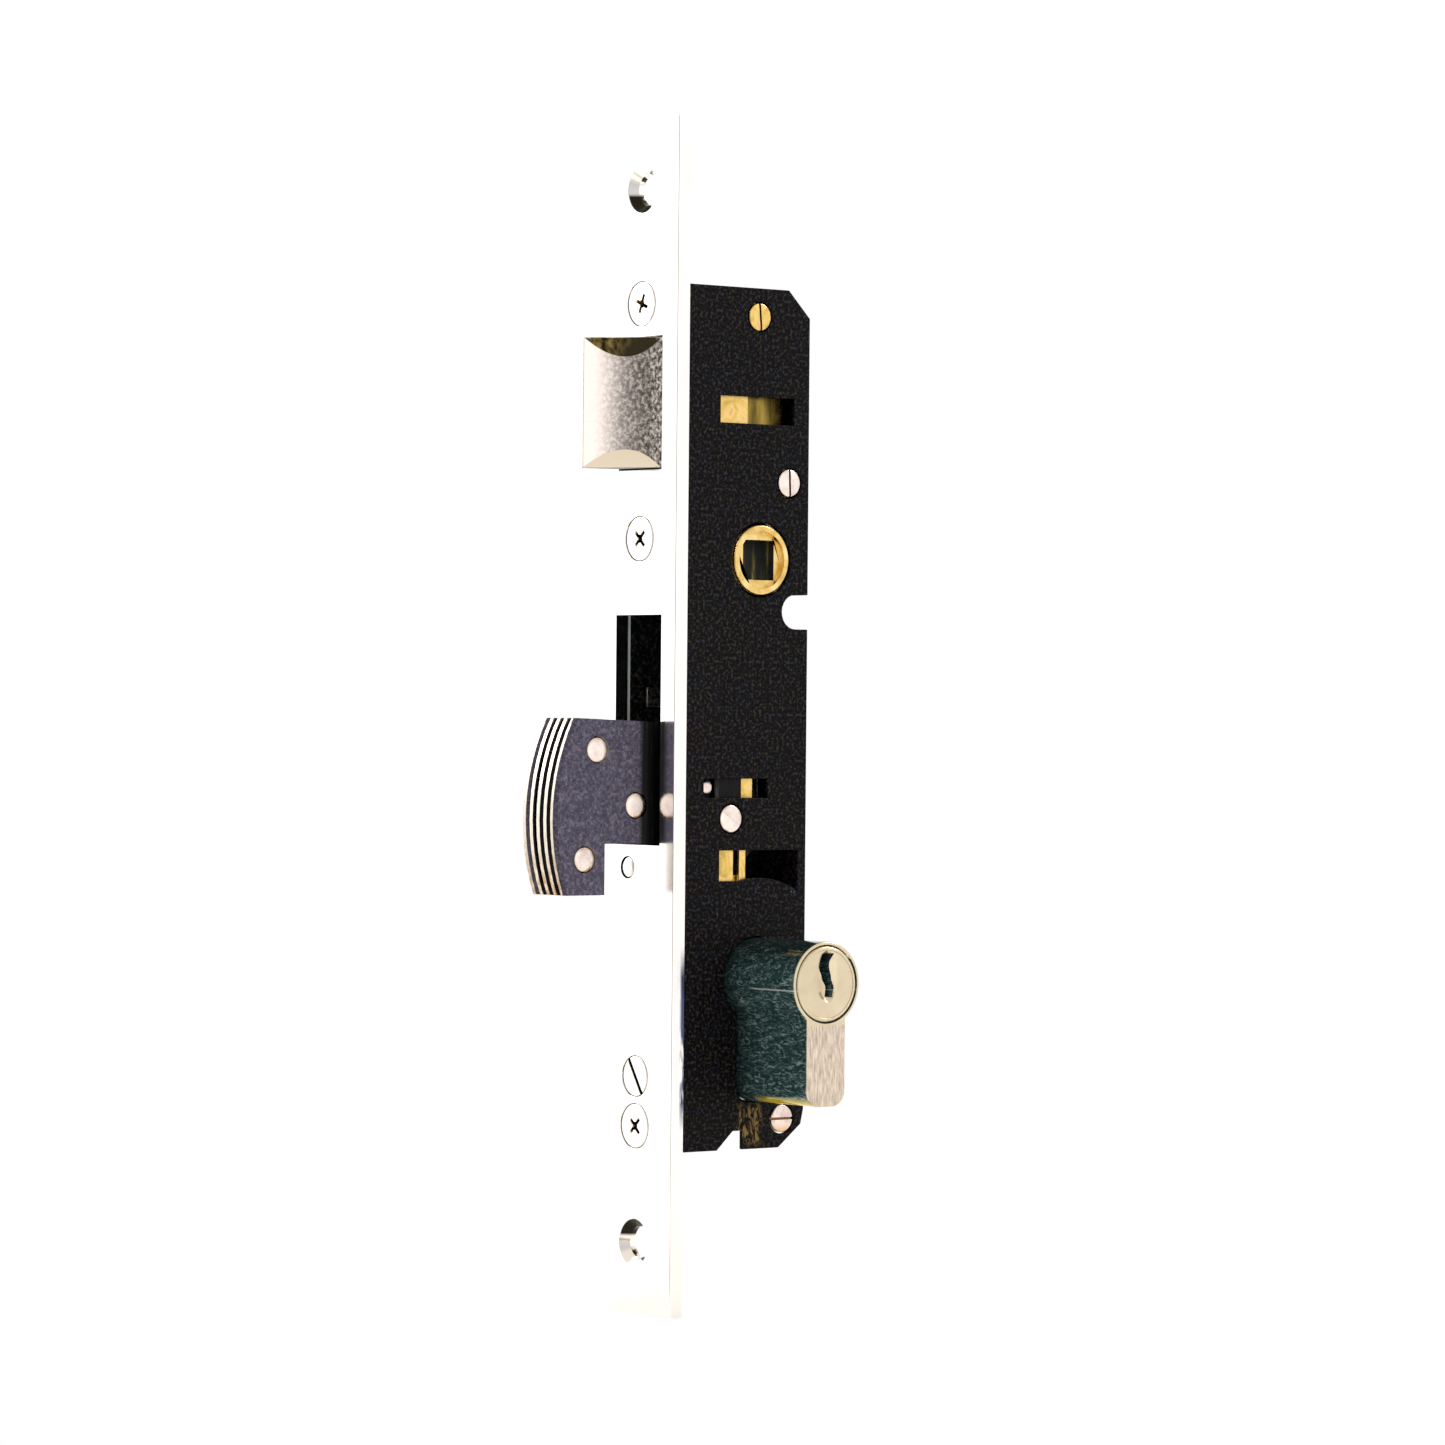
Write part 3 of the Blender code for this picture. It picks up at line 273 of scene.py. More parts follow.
class Nodes:
    """Short calls that add nodes to a node tree."""

    def __init__(self, tree):
        self.tree = tree

    def add(self, kind, **values):
        node = self.tree.nodes.new(kind)
        for name, value in values.items():
            setattr(node, name, value)
        return node

    def feed(self, socket, value):
        """Sets a socket to a number, a colour or another socket's output."""
        if isinstance(value, bpy.types.NodeSocket):
            self.tree.links.new(value, socket)
        else:
            socket.default_value = value

    def maths(self, operation, a, b):
        node = self.add("ShaderNodeMath", operation=operation)
        self.feed(node.inputs[0], a)
        self.feed(node.inputs[1], b)
        return node.outputs["Value"]

    def spread(self, value, low, high, to_low=0.0, to_high=1.0, curve="LINEAR"):
        """Maps low..high to to_low..to_high and stays at the nearer end outside them."""
        node = self.add("ShaderNodeMapRange", interpolation_type=curve)
        self.feed(node.inputs["Value"], value)
        node.inputs["From Min"].default_value = low
        node.inputs["From Max"].default_value = high
        node.inputs["To Min"].default_value = to_low
        node.inputs["To Max"].default_value = to_high
        return node.outputs["Result"]

    def ramp(self, value, stops):
        """A colour for a value; stops are (value, (r, g, b))."""
        node = self.add("ShaderNodeValToRGB")
        self.feed(node.inputs["Fac"], value)
        elements = node.color_ramp.elements
        while len(elements) < len(stops):
            elements.new(0.5)
        for element, (position, colour) in zip(elements, stops):
            element.position = position
            element.color = (*colour, 1.0)
        return node.outputs["Color"]

    def mix(self, share, a, b):
        """Colour a where share is 0 and b where it is 1."""
        node = self.add("ShaderNodeMix", data_type="RGBA")
        self.feed(node.inputs["Factor"], share)
        for socket, value in (("A", a), ("B", b)):
            target = next(s for s in node.inputs if s.name == socket and s.type == "RGBA")
            self.feed(target, value if isinstance(value, bpy.types.NodeSocket) else (*value, 1.0))
        return next(s for s in node.outputs if s.type == "RGBA")

    def all_of(self, *shares):
        """The product of shares from 0 to 1."""
        return functools.reduce(lambda a, b: self.maths("MULTIPLY", a, b), shares)

    def any_of(self, *shares):
        """The largest of shares from 0 to 1."""
        return functools.reduce(lambda a, b: self.maths("MAXIMUM", a, b), shares)

    def blank_out(self, shader, blank, surface):
        """Shows the camera a blank shader, and everything else the real one."""
        pick = self.add("ShaderNodeMixShader")
        self.feed(pick.inputs[0], self.add("ShaderNodeLightPath").outputs["Is Camera Ray"])
        self.feed(pick.inputs[1], shader.outputs[0])
        self.feed(pick.inputs[2], blank.outputs[0])
        self.feed(surface, pick.outputs[0])


class Recipe(Nodes):
    """A material in the making: one Principled shader and the patterns that feed it."""

    def __init__(self, name, colour, metallic, roughness):
        self.material = bpy.data.materials.new(f"look_{name}")
        self.material.use_nodes = True
        super().__init__(self.material.node_tree)
        self.shader = self.tree.nodes["Principled BSDF"]
        self.shader.inputs["Base Color"].default_value = (*colour, 1.0)
        self.shader.inputs["Metallic"].default_value = metallic
        self.shader.inputs["Roughness"].default_value = roughness
        self.coords = self.add("ShaderNodeTexCoord").outputs["Object"]

    def noise(self, scale, detail=3.0, rough=0.55, warp=0.0):
        """Noise from 0 to 1; scale is features per metre, one number or one for each axis."""
        mapping = self.add("ShaderNodeMapping")
        self.feed(mapping.inputs["Vector"], self.coords)
        mapping.inputs["Scale"].default_value = scale if isinstance(scale, tuple) else (scale,) * 3
        node = self.add("ShaderNodeTexNoise")
        self.feed(node.inputs["Vector"], mapping.outputs["Vector"])
        node.inputs["Scale"].default_value = 1.0
        node.inputs["Detail"].default_value = detail
        node.inputs["Roughness"].default_value = rough
        node.inputs["Distortion"].default_value = warp
        return node.outputs["Fac"]

    def part_of(self, vector, axis):
        """One axis of a vector."""
        split = self.add("ShaderNodeSeparateXYZ")
        self.feed(split.inputs[0], vector)
        return split.outputs[axis]

    def along(self, axis, start, end):
        """0 before start and 1 after end, along a frame axis, in metres."""
        return self.spread(self.part_of(self.coords, axis), start, end)

    def within(self, axis, low, high, soft=0.08 * MM):
        """1 between low and high along a frame axis and 0 elsewhere."""
        return self.maths("MULTIPLY", self.along(axis, low - soft, low + soft),
                          self.along(axis, high + soft, high - soft))

    def tilt(self, axis, start, end):
        """0 where the normal's share along an axis is start and 1 where it is end."""
        normal = self.add("ShaderNodeTexCoord").outputs["Normal"]
        return self.spread(self.part_of(normal, axis), start, end)

    def colour(self, value):
        self.feed(self.shader.inputs["Base Color"], value)

    def roughness(self, value, low, high, start=0.3, end=0.7):
        self.feed(self.shader.inputs["Roughness"], self.spread(value, start, end, low, high))

    def bump(self, height, depth, strength=1.0):
        """Raises the surface by up to depth metres where height is 1; calls add up."""
        node = self.add("ShaderNodeBump")
        node.inputs["Strength"].default_value = strength
        node.inputs["Distance"].default_value = depth
        self.feed(node.inputs["Height"], height)
        normal = self.shader.inputs["Normal"]
        if normal.is_linked:
            self.feed(node.inputs["Normal"], normal.links[0].from_socket)
        self.feed(normal, node.outputs["Normal"])


def polished_nickel():
    """The faceplate: bright plate with polishing lines, painted shade down in its holes, painted dark reflections
    in crescents of its mounting holes and a painted reflection of the cylinder on its side edge.
    """
    recipe = Recipe("polished_nickel", (0.94, 0.92, 0.90), 1.0, 0.13)
    lines = recipe.noise((1500, 1500, 22), 4.0)
    clouds = recipe.noise(70, 3.0)
    bright = recipe.ramp(clouds, ((0.3, (0.95, 0.93, 0.92)), (0.65, (1.0, 0.99, 0.98))))
    sunk = recipe.all_of(recipe.within("X", 0.12 * MM, 2.9 * MM, 0.05 * MM),
                         recipe.within("Y", -5.4 * MM, 5.4 * MM))
    upper, lower = MOUNT_HOLES_Z
    reach = HOLE_SHADE_REACH
    mounts = recipe.any_of(*(recipe.within("Z", z - reach, z + reach) for z in MOUNT_HOLES_Z))
    # painted dark reflections in crescents of the mounting holes' countersinks, and painted shade down in the
    # other holes and slots
    crescent_reflection = recipe.any_of(
        recipe.all_of(recipe.within("Y", -1.2 * MM, reach, 0.4 * MM),
                      recipe.within("Z", upper - reach, upper - 0.9 * MM, 0.3 * MM)),
        recipe.all_of(recipe.within("Y", -0.2 * MM, reach, 0.4 * MM),
                      recipe.within("Z", lower + 1.2 * MM, lower + reach, 0.3 * MM)))
    hole_shade = recipe.all_of(sunk, recipe.any_of(crescent_reflection, recipe.maths("SUBTRACT", 1.0, mounts)))
    plate = recipe.mix(hole_shade, bright, (0.022, 0.020, 0.014))
    # a painted bluish reflection of the cylinder on the faceplate's side edge
    cylinder_reflection = recipe.all_of(recipe.tilt("Y", -0.6, -0.9), recipe.within("X", 2.1 * MM, 4 * MM, 0.3 * MM),
                          recipe.within("Z", *CYLINDER_REFLECTION_Z, 3 * MM),
                          recipe.spread(recipe.noise((700, 700, 120), 3.0), 0.42, 0.52))
    recipe.colour(recipe.mix(cylinder_reflection, plate, (0.075, 0.095, 0.19)))
    recipe.roughness(lines, 0.09, 0.20)
    recipe.bump(lines, 1.2 * UM, 0.5)
    recipe.bump(recipe.noise(260, 2.0), 4 * UM, 0.25)
    return recipe.material


def black_paint():
    """The case: dark grainy enamel, with bluish light speckles above the cylinder and worn near the lowest screw.

    The tray's front edge is bare where the bolt's slot shows it.
    """
    recipe = Recipe("black_paint", (0.006, 0.0055, 0.006), 0.0, 0.5)
    grain = recipe.noise(1500, 3.0, 0.6)
    tone = recipe.noise(700, 2.0, 0.6)
    brown = recipe.ramp(grain, ((0.40, (0.0006, 0.0005, 0.0005)), (0.52, (0.0036, 0.0031, 0.0028)),
                                (0.63, (0.036, 0.030, 0.025))))
    blue = recipe.ramp(grain, ((0.40, (0.0005, 0.0005, 0.0010)), (0.52, (0.0030, 0.0030, 0.0048)),
                               (0.63, (0.026, 0.026, 0.038))))
    paint = recipe.mix(recipe.spread(tone, 0.42, 0.58), brown, blue)
    near = recipe.tilt("Y", -0.6, -0.9)
    worn = recipe.all_of(near, recipe.within("X", *WORN_X, 0.8 * MM),
                         recipe.within("Z", *WORN_Z, 0.8 * MM),
                         recipe.spread(recipe.noise((900, 900, 400), 4.0, 0.7, 0.6), 0.50, 0.60, 0.0, 0.85))
    scuffed = recipe.mix(worn, paint, (0.24, 0.16, 0.05))
    # bluish light speckles above the cylinder
    bluish_speckles = recipe.all_of(near, recipe.within("X", *SPECKLED_X, 1 * MM),
                          recipe.within("Z", *SPECKLED_Z, 1 * MM),
                          recipe.spread(recipe.noise(520, 4.0, 0.7, 0.9), 0.63, 0.68))
    speckled = recipe.mix(bluish_speckles, scuffed, (0.075, 0.085, 0.15))
    bare_edge = recipe.all_of(recipe.tilt("X", -0.7, -0.95), recipe.along("Y", *BARE_EDGE_Y),
                              recipe.within("Z", *BARE_EDGE_Z))
    recipe.colour(recipe.mix(bare_edge, speckled, (0.35, 0.42, 0.42)))
    recipe.roughness(grain, 0.46, 0.66)
    recipe.shader.inputs["Specular IOR Level"].default_value = 0.07
    recipe.bump(grain, 60 * UM, 0.8)
    recipe.bump(recipe.noise(5200, 2.0, 0.6), 12 * UM, 0.5)
    return recipe.material


def zinc_steel():
    """Pale zinc-plated screws, rivets and pins with a faint blush, and painted shade in the driver slots.

    The lowest case screw turns tan towards its lower side.
    """
    recipe = Recipe("zinc_steel", (0.80, 0.72, 0.67), 1.0, 0.30)
    clouds = recipe.noise(420, 3.0)
    at_front = recipe.along("X", 4 * MM, 3 * MM)
    blush = recipe.ramp(clouds, ((0.32, (0.70, 0.56, 0.52)), (0.5, (0.86, 0.76, 0.70)),
                                 (0.68, (0.93, 0.87, 0.82))))
    plated = recipe.ramp(clouds, ((0.32, (0.95, 0.88, 0.82)), (0.6, (1.0, 0.98, 0.96))))
    ahead = recipe.maths("MULTIPLY", at_front, recipe.along("X", -1 * MM, -0.5 * MM))
    # painted shade inside the cross recesses and the sawn slots
    recess = recipe.within("X", *RECESS_X)
    slot = recipe.within("Y", *SAWN_SLOT_Y)
    plated = recipe.mix(recess, recipe.mix(ahead, blush, plated), (0.085, 0.050, 0.022))
    lowest = recipe.all_of(recipe.along("Z", -29 * MM, -31 * MM), recipe.along("Y", -6.5 * MM, -7 * MM),
                           recipe.along("X", 10 * MM, 12 * MM))
    plated = recipe.mix(lowest, plated, (0.74, 0.47, 0.27))
    recipe.colour(recipe.mix(slot, plated, (0.20, 0.11, 0.07)))
    recipe.roughness(clouds, 0.22, 0.38)
    recipe.bump(recipe.noise((5200, 5200, 900), 3.0), 4 * UM, 0.5)
    return recipe.material


def yellow_zinc():
    """Passivated steel: gold that turns olive and rose in patches."""
    recipe = Recipe("yellow_zinc", (0.80, 0.57, 0.20), 1.0, 0.34)
    patches = recipe.noise(260, 3.0, 0.6, 0.8)
    gold = recipe.ramp(patches, ((0.30, (0.40, 0.30, 0.09)), (0.46, (0.76, 0.52, 0.14)),
                                 (0.58, (0.90, 0.66, 0.25)), (0.72, (0.74, 0.44, 0.22))))
    # painted shade inside the screw's sawn slot
    recipe.colour(recipe.mix(recipe.within("Y", *SAWN_SLOT_Y), gold, (0.16, 0.09, 0.02)))
    recipe.roughness(patches, 0.26, 0.44)
    recipe.bump(recipe.noise((900, 900, 5000), 3.0), 5 * UM, 0.5)
    return recipe.material


def cast_nickel():
    """The latch: a satin casting, light at its tip and grainy and darker towards the faceplate, with painted shade
    on its faces that look down and painted light on those that look up.
    """
    recipe = Recipe("cast_nickel", (0.74, 0.69, 0.64), 1.0, 0.36)
    low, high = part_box("latch_head")
    grain = recipe.noise(1300, 3.0, 0.65)
    # lighter at the tip, darker and grainier towards the faceplate
    worn = recipe.along("X", low.x + 2.4 * MM, 0.4 * MM)
    light_tip = recipe.ramp(grain, ((0.3, (0.90, 0.79, 0.74)), (0.7, (0.98, 0.93, 0.90))))
    darker_grain = recipe.ramp(grain, ((0.38, (0.055, 0.048, 0.045)), (0.50, (0.38, 0.35, 0.33)),
                                (0.62, (0.95, 0.90, 0.84))))
    face = recipe.mix(worn, light_tip, darker_grain)
    # painted shade, dark olive, on the faces that look down
    olive = recipe.ramp(recipe.noise((900, 900, 300), 3.0), ((0.38, (0.03, 0.026, 0.012)),
                                                             (0.62, (0.36, 0.29, 0.12))))
    underside_shade = recipe.mix(recipe.along("X", low.x + 3.5 * MM, low.x + 7 * MM), olive, (0.05, 0.045, 0.03))
    shaded = recipe.mix(recipe.tilt("Z", -0.25, -0.45), face, underside_shade)
    # painted light, pale tan, on the faces that look up
    recipe.colour(recipe.mix(recipe.tilt("Z", 0.25, 0.45), shaded, (0.98, 0.90, 0.76)))
    recipe.roughness(grain, 0.30, 0.46)
    recipe.bump(recipe.all_of(grain, worn), 60 * UM, 0.6)
    return recipe.material


def ground_rim(recipe):
    """The colour of the bolt's ground rims, mottled and tan towards the hook."""
    pin_z = JOINTS["bolt_swing"]["pos_m"][2]
    lines = recipe.noise((500, 4200, 500), 3.0)
    mottle = recipe.spread(recipe.noise(620, 3.0, 0.65), 0.38, 0.58, 0.15, 1.0)
    stain = recipe.all_of(recipe.along("Z", pin_z - 2 * MM, pin_z - 15 * MM), mottle)
    bright = recipe.ramp(lines, ((0.3, (0.66, 0.58, 0.48)), (0.65, (0.90, 0.84, 0.75))))
    return recipe.mix(stain, bright, (0.40, 0.25, 0.13))


def ground_steel():
    """The inner plates of the bolt: ground rims with painted shade on the flanks between them."""
    recipe = Recipe("ground_steel", (0.84, 0.80, 0.76), 1.0, 0.28)
    lines = recipe.noise((500, 4200, 500), 3.0)
    # painted shade on the chamfered flanks in the grooves between the plates
    groove_shade = recipe.any_of(recipe.tilt("Y", 0.2, 0.5), recipe.tilt("Y", -0.2, -0.5))
    recipe.colour(recipe.mix(groove_shade, ground_rim(recipe), (0.014, 0.012, 0.013)))
    recipe.roughness(lines, 0.22, 0.40)
    recipe.bump(lines, 8 * UM, 0.5)
    return recipe.material


def dark_steel():
    """The cheeks of the bolt: blue-grey hardened steel with ground rims, with painted shade and thin painted
    highlights at its root.
    """
    recipe = Recipe("dark_steel", (0.12, 0.11, 0.15), 0.75, 0.46)
    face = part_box("faceplate")[0].x
    grain = recipe.noise(1600, 4.0, 0.75)
    steel = recipe.ramp(grain, ((0.34, (0.036, 0.033, 0.052)), (0.52, (0.088, 0.081, 0.122)),
                                (0.68, (0.22, 0.20, 0.27))))
    rim = recipe.all_of(recipe.tilt("Y", 0.35, 0.2), recipe.tilt("Y", -0.35, -0.2))
    ahead = recipe.along("X", face - 0.5 * MM, face - 2 * MM)
    plate = recipe.mix(recipe.all_of(rim, ahead), steel, ground_rim(recipe))
    # painted shade with thin painted highlights near the faceplate
    streaks = recipe.noise((1300, 1300, 60), 3.0)
    root_shade = recipe.ramp(streaks, ((0.5, (0.004, 0.004, 0.005)), (0.62, (0.012, 0.012, 0.014)),
                                  (0.72, (0.09, 0.08, 0.08))))
    root = recipe.along("X", face - 3.8 * MM, face - 2.6 * MM)
    recipe.colour(recipe.mix(root, plate, root_shade))
    recipe.roughness(grain, 0.38, 0.56)
    recipe.bump(grain, 30 * UM, 0.7)
    return recipe.material


def champagne_nickel():
    """The cylinder: satin warm nickel on its ends, a dark scratched skin along its sides with painted shade near
    the case and towards the top, a thin bright line, and a painted yellow reflection under the lobe.
    """
    recipe = Recipe("champagne_nickel", (0.74, 0.68, 0.55), 1.0, 0.24)
    clouds = recipe.noise(160, 3.0)
    end_marks = recipe.noise((2600, 300, 320), 4.0, 0.65)
    end_face = recipe.any_of(recipe.tilt("Y", 0.3, 0.8), recipe.tilt("Y", -0.3, -0.8))
    plug = recipe.ramp(clouds, ((0.3, (0.63, 0.54, 0.375)), (0.68, (0.75, 0.66, 0.48))))
    lobe = recipe.ramp(end_marks, ((0.38, (0.44, 0.37, 0.30)), (0.62, (0.82, 0.72, 0.60))))
    low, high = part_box("plug_near")
    warm = recipe.mix(recipe.along("Z", low.z - 0.4 * MM, low.z - 1.2 * MM), plug, lobe)

    scratches = recipe.noise((900, 500, 1400), 4.0, 0.7, 1.4)
    skin = recipe.ramp(scratches, ((0.40, (0.014, 0.040, 0.045)), (0.53, (0.040, 0.095, 0.098)),
                                   (0.66, (0.32, 0.42, 0.43))))
    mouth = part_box("case_cover")[0].y
    shade = recipe.any_of(recipe.along("Y", mouth - 6 * MM, mouth), recipe.along("Z", 3 * MM, 7 * MM))
    side = recipe.mix(recipe.all_of(shade, 0.75), skin, (0.004, 0.010, 0.010))
    # a thin bright line along the side, away from the case
    bright_line = recipe.all_of(recipe.within("Z", *BRIGHT_LINE_Z, 0.06 * MM),
                         recipe.along("Y", mouth - 7 * MM, mouth - 10 * MM))
    side = recipe.mix(bright_line, side, (0.55, 0.60, 0.60))
    # painted yellow reflection on the underside of the lobe, away from the case
    lobe_reflection = recipe.all_of(recipe.tilt("Z", -0.45, -0.8), recipe.along("Z", -17 * MM, -19 * MM),
                          recipe.along("Y", mouth - 4 * MM, mouth - 9 * MM))
    side = recipe.mix(lobe_reflection, side, (0.60, 0.46, 0.012))
    recipe.colour(recipe.mix(end_face, side, warm))
    recipe.feed(recipe.shader.inputs["Metallic"], recipe.spread(end_face, 0.0, 1.0, 0.15, 1.0))
    rough = recipe.spread(end_marks, 0.3, 0.7, 0.20, 0.36)
    recipe.feed(recipe.shader.inputs["Roughness"],
                recipe.maths("ADD", recipe.all_of(end_face, rough), 0.08))
    recipe.bump(end_marks, 5 * UM, 0.5)
    recipe.bump(scratches, 6 * UM, 0.4)
    return recipe.material


def brass():
    """Plain brass: a bright ring on the hub, painted shade with olive tarnish streaks deep inside it, and tarnish
    on the inner parts.
    """
    recipe = Recipe("brass", (0.84, 0.63, 0.27), 1.0, 0.28)
    tarnish = recipe.noise(330, 4.0, 0.6, 0.5)
    streaks = recipe.noise((420, 420, 60), 3.0)
    bright = recipe.ramp(tarnish, ((0.30, (0.55, 0.38, 0.12)), (0.48, (0.82, 0.58, 0.20)),
                                   (0.66, (0.94, 0.74, 0.36))))
    olive = recipe.ramp(streaks, ((0.50, (0.004, 0.004, 0.002)), (0.62, (0.05, 0.042, 0.010)),
                                  (0.72, (0.40, 0.30, 0.06))))
    dull = recipe.ramp(streaks, ((0.34, (0.05, 0.035, 0.008)), (0.66, (0.42, 0.30, 0.07))))
    low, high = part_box("hub")
    # painted shade with olive tarnish streaks deep inside the hub, tarnish deep in the inner parts
    recess = recipe.within("Y", low.y + 1.3 * MM, high.y - 1.3 * MM, 0.04 * MM)
    in_hub = recipe.along("Z", high.z + 1 * MM, high.z)
    inside = recipe.mix(in_hub, dull, olive)
    recipe.colour(recipe.mix(recess, bright, inside))
    recipe.roughness(tarnish, 0.22, 0.42)
    recipe.bump(recipe.noise(3300, 2.0), 5 * UM, 0.5)
    return recipe.material


def spring_steel():
    """Drawn wire and strip."""
    recipe = Recipe("spring_steel", (0.55, 0.54, 0.53), 1.0, 0.30)
    streaks = recipe.noise(1400, 3.0)
    recipe.colour(recipe.ramp(streaks, ((0.3, (0.36, 0.34, 0.32)), (0.7, (0.68, 0.66, 0.64)))))
    recipe.roughness(streaks, 0.22, 0.40)
    recipe.bump(streaks, 4 * UM, 0.4)
    return recipe.material


LOOKS = {make.__name__: make() for make in (
    polished_nickel, black_paint, zinc_steel, yellow_zinc, cast_nickel, ground_steel,
    dark_steel, champagne_nickel, brass, spring_steel)}


def slot_of(node):
    """The record's material slot of a CAD node."""
    return next(part["material_slot"] for part in frame["record"]["subparts"] if part["node"] == node)


def install(obj, node):
    """Puts a finished piece in the place of a CAD node, with its material and its body."""
    slot = slot_of(node)
    obj.data.materials.clear()
    obj.data.materials.append(LOOKS[slot])
    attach(obj, BODY_OF[node])
    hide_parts(node)
    return obj


# ---------------- faceplate and its fasteners

EDGE_RADIUS = 0.25 * MM
LATCH_SIDE_ROOM = 0.5 * MM
LATCH_END_ROOM = 0.3 * MM
BOLT_SLOT_HALF = 7.4 * MM
BOLT_SLOT_Z = (27.3 * MM, 73.5 * MM)
MOUNT_HOLE_R = 3.2 * MM
MOUNT_SINK_R = 4.8 * MM
FACE_SHANK_R = 1.9 * MM
FIXING_SHANK_R = 2.1 * MM
THREAD_PITCH = 0.7 * MM
THREAD_DEPTH = 0.3 * MM
CROSS_DEPTH = 1.6 * MM
CROSS_FRONT = (2.05 * MM, 0.36 * MM)     # half length and half width of one arm at its mouth
CROSS_FLOOR = (0.9 * MM, 0.22 * MM)


def centre_and_radius(node):
    """The middle of a round node seen along X, its radius and its two ends along X."""
    low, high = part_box(node)
    middle = (low + high) / 2
    return middle.y, middle.z, (high.y - low.y) / 2, (low.x, high.x)


def countersink(y, z, hole_r, sink_r, thick):
    """A cutter for a countersunk hole through the faceplate."""
    depth = sink_r - hole_r
    profile = [(-OVER, sink_r + OVER), (depth, hole_r), (thick + OVER, hole_r)]
    return lathe(profile, "X", (0, y, z))


def make_faceplate():
    """The plate with rounded front edges, two slots and every countersunk hole."""
    low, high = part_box("faceplate")
    r = EDGE_RADIUS
    half = high.y
    section = [(high.x, -half), (high.x, half)]
    for side, start in ((1, 90), (-1, 180)):
        section += arc((low.x + r, side * (half - r)), r, start, start + 90, 10)
    plate = place("fine_faceplate", loft([[(x, y, z) for x, y in section] for z in (low.z, high.z)]))
    through = (low.x - OVER, high.x + OVER)
    head_low, head_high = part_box("latch_head")
    cuts = [box(through, (head_low.y - LATCH_SIDE_ROOM, head_high.y + LATCH_SIDE_ROOM),
                (head_low.z - LATCH_END_ROOM, head_high.z + LATCH_END_ROOM)),
            box(through, (-BOLT_SLOT_HALF, BOLT_SLOT_HALF), BOLT_SLOT_Z)]
    cuts += [countersink(0, z, MOUNT_HOLE_R, MOUNT_SINK_R, high.x) for z in MOUNT_HOLES_Z]
    shanks = {name: FACE_SHANK_R for name in CROSS_TURNS}
    shanks["cylinder_screw"] = FIXING_SHANK_R
    for node, shank in shanks.items():
        y, z, head_r, _ = centre_and_radius(node)
        cuts.append(countersink(y, z, shank + GAP, head_r + GAP, high.x))
    y, z, rivet_r, _ = centre_and_radius("face_rivet")
    cuts.append(lathe([(level, rivet_r + GAP) for level in through], "X", (0, y, z)))
    combine(plate, cuts)
    install(soften(plate, 0.08 * MM), "faceplate")


def screw_profile(head_r, shank_r, ends):
    """A countersunk head, a cone and a threaded shank, from the front to the tip."""
    front, tip = ends
    rim = 0.25 * MM
    profile = [(front, head_r - 0.35 * MM), (front + 0.06 * MM, head_r - 0.1 * MM),
               (front + rim / 2, head_r), (front + rim, head_r)]
    neck = front + rim + head_r - shank_r
    crest = neck + 0.5 * MM
    profile += [(neck, shank_r), (crest, shank_r)]
    while crest + THREAD_PITCH < tip - shank_r / 2:
        profile += [(crest + THREAD_PITCH / 2, shank_r - THREAD_DEPTH), (crest + THREAD_PITCH, shank_r)]
        crest += THREAD_PITCH
    return profile + [(tip, shank_r / 2)]


def make_cross_screw(node, turn_deg):
    """A countersunk machine screw with a tapered cross recess."""
    y, z, head_r, ends = centre_and_radius(node)
    screw = place(f"fine_{node}", lathe(screw_profile(head_r, FACE_SHANK_R, ends), "X", (0, y, z)))
    at = Vector((ends[0], y, z))
    arms = []
    for quarter in (0, 90):
        turn = Matrix.Rotation(math.radians(turn_deg + quarter), 3, "X")
        arms.append(moved(frustum(CROSS_DEPTH, CROSS_FRONT, CROSS_FLOOR), turn, at))
    pit_ends = ((ends[0] - OVER, 1.1 * MM), (ends[0] + CROSS_DEPTH + 0.1 * MM, 0.4 * MM))
    pit = lathe(pit_ends, "X", (0, y, z), 24)
    combine(screw, arms + [pit])
    install(soften(screw, 0.05 * MM), node)


def make_slotted_screw(node, turn_deg):
    """The cylinder's long fixing screw."""
    y, z, head_r, ends = centre_and_radius(node)
    screw = place(f"fine_{node}", lathe(screw_profile(head_r, FIXING_SHANK_R, ends), "X", (0, y, z)))
    turn = Matrix.Rotation(math.radians(turn_deg), 3, "X")
    slot = frustum(1.1 * MM, (6 * MM, 0.4 * MM), (6 * MM, 0.34 * MM))
    combine(screw, [moved(slot, turn, Vector((ends[0], y, z)))])
    install(soften(screw, 0.06 * MM), node)


def make_face_rivet():
    """A rivet peened over flush with the faceplate."""
    y, z, r, ends = centre_and_radius("face_rivet")
    profile = [(ends[0], 0.55 * r), (ends[0] + 0.06 * MM, 0.8 * r), (ends[0] + 0.2 * MM, r), (ends[1], r)]
    install(soften(place("fine_face_rivet", lathe(profile, "X", (0, y, z))), 0), "face_rivet")


# ---------------- case screws, pins and rivets

def round_y(node):
    """The middle (x, z) of a round node that lies along Y, its radius and its ends along Y."""
    low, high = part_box(node)
    middle = (low + high) / 2
    return middle.x, middle.z, (high.x - low.x) / 2, (low.y, high.y)


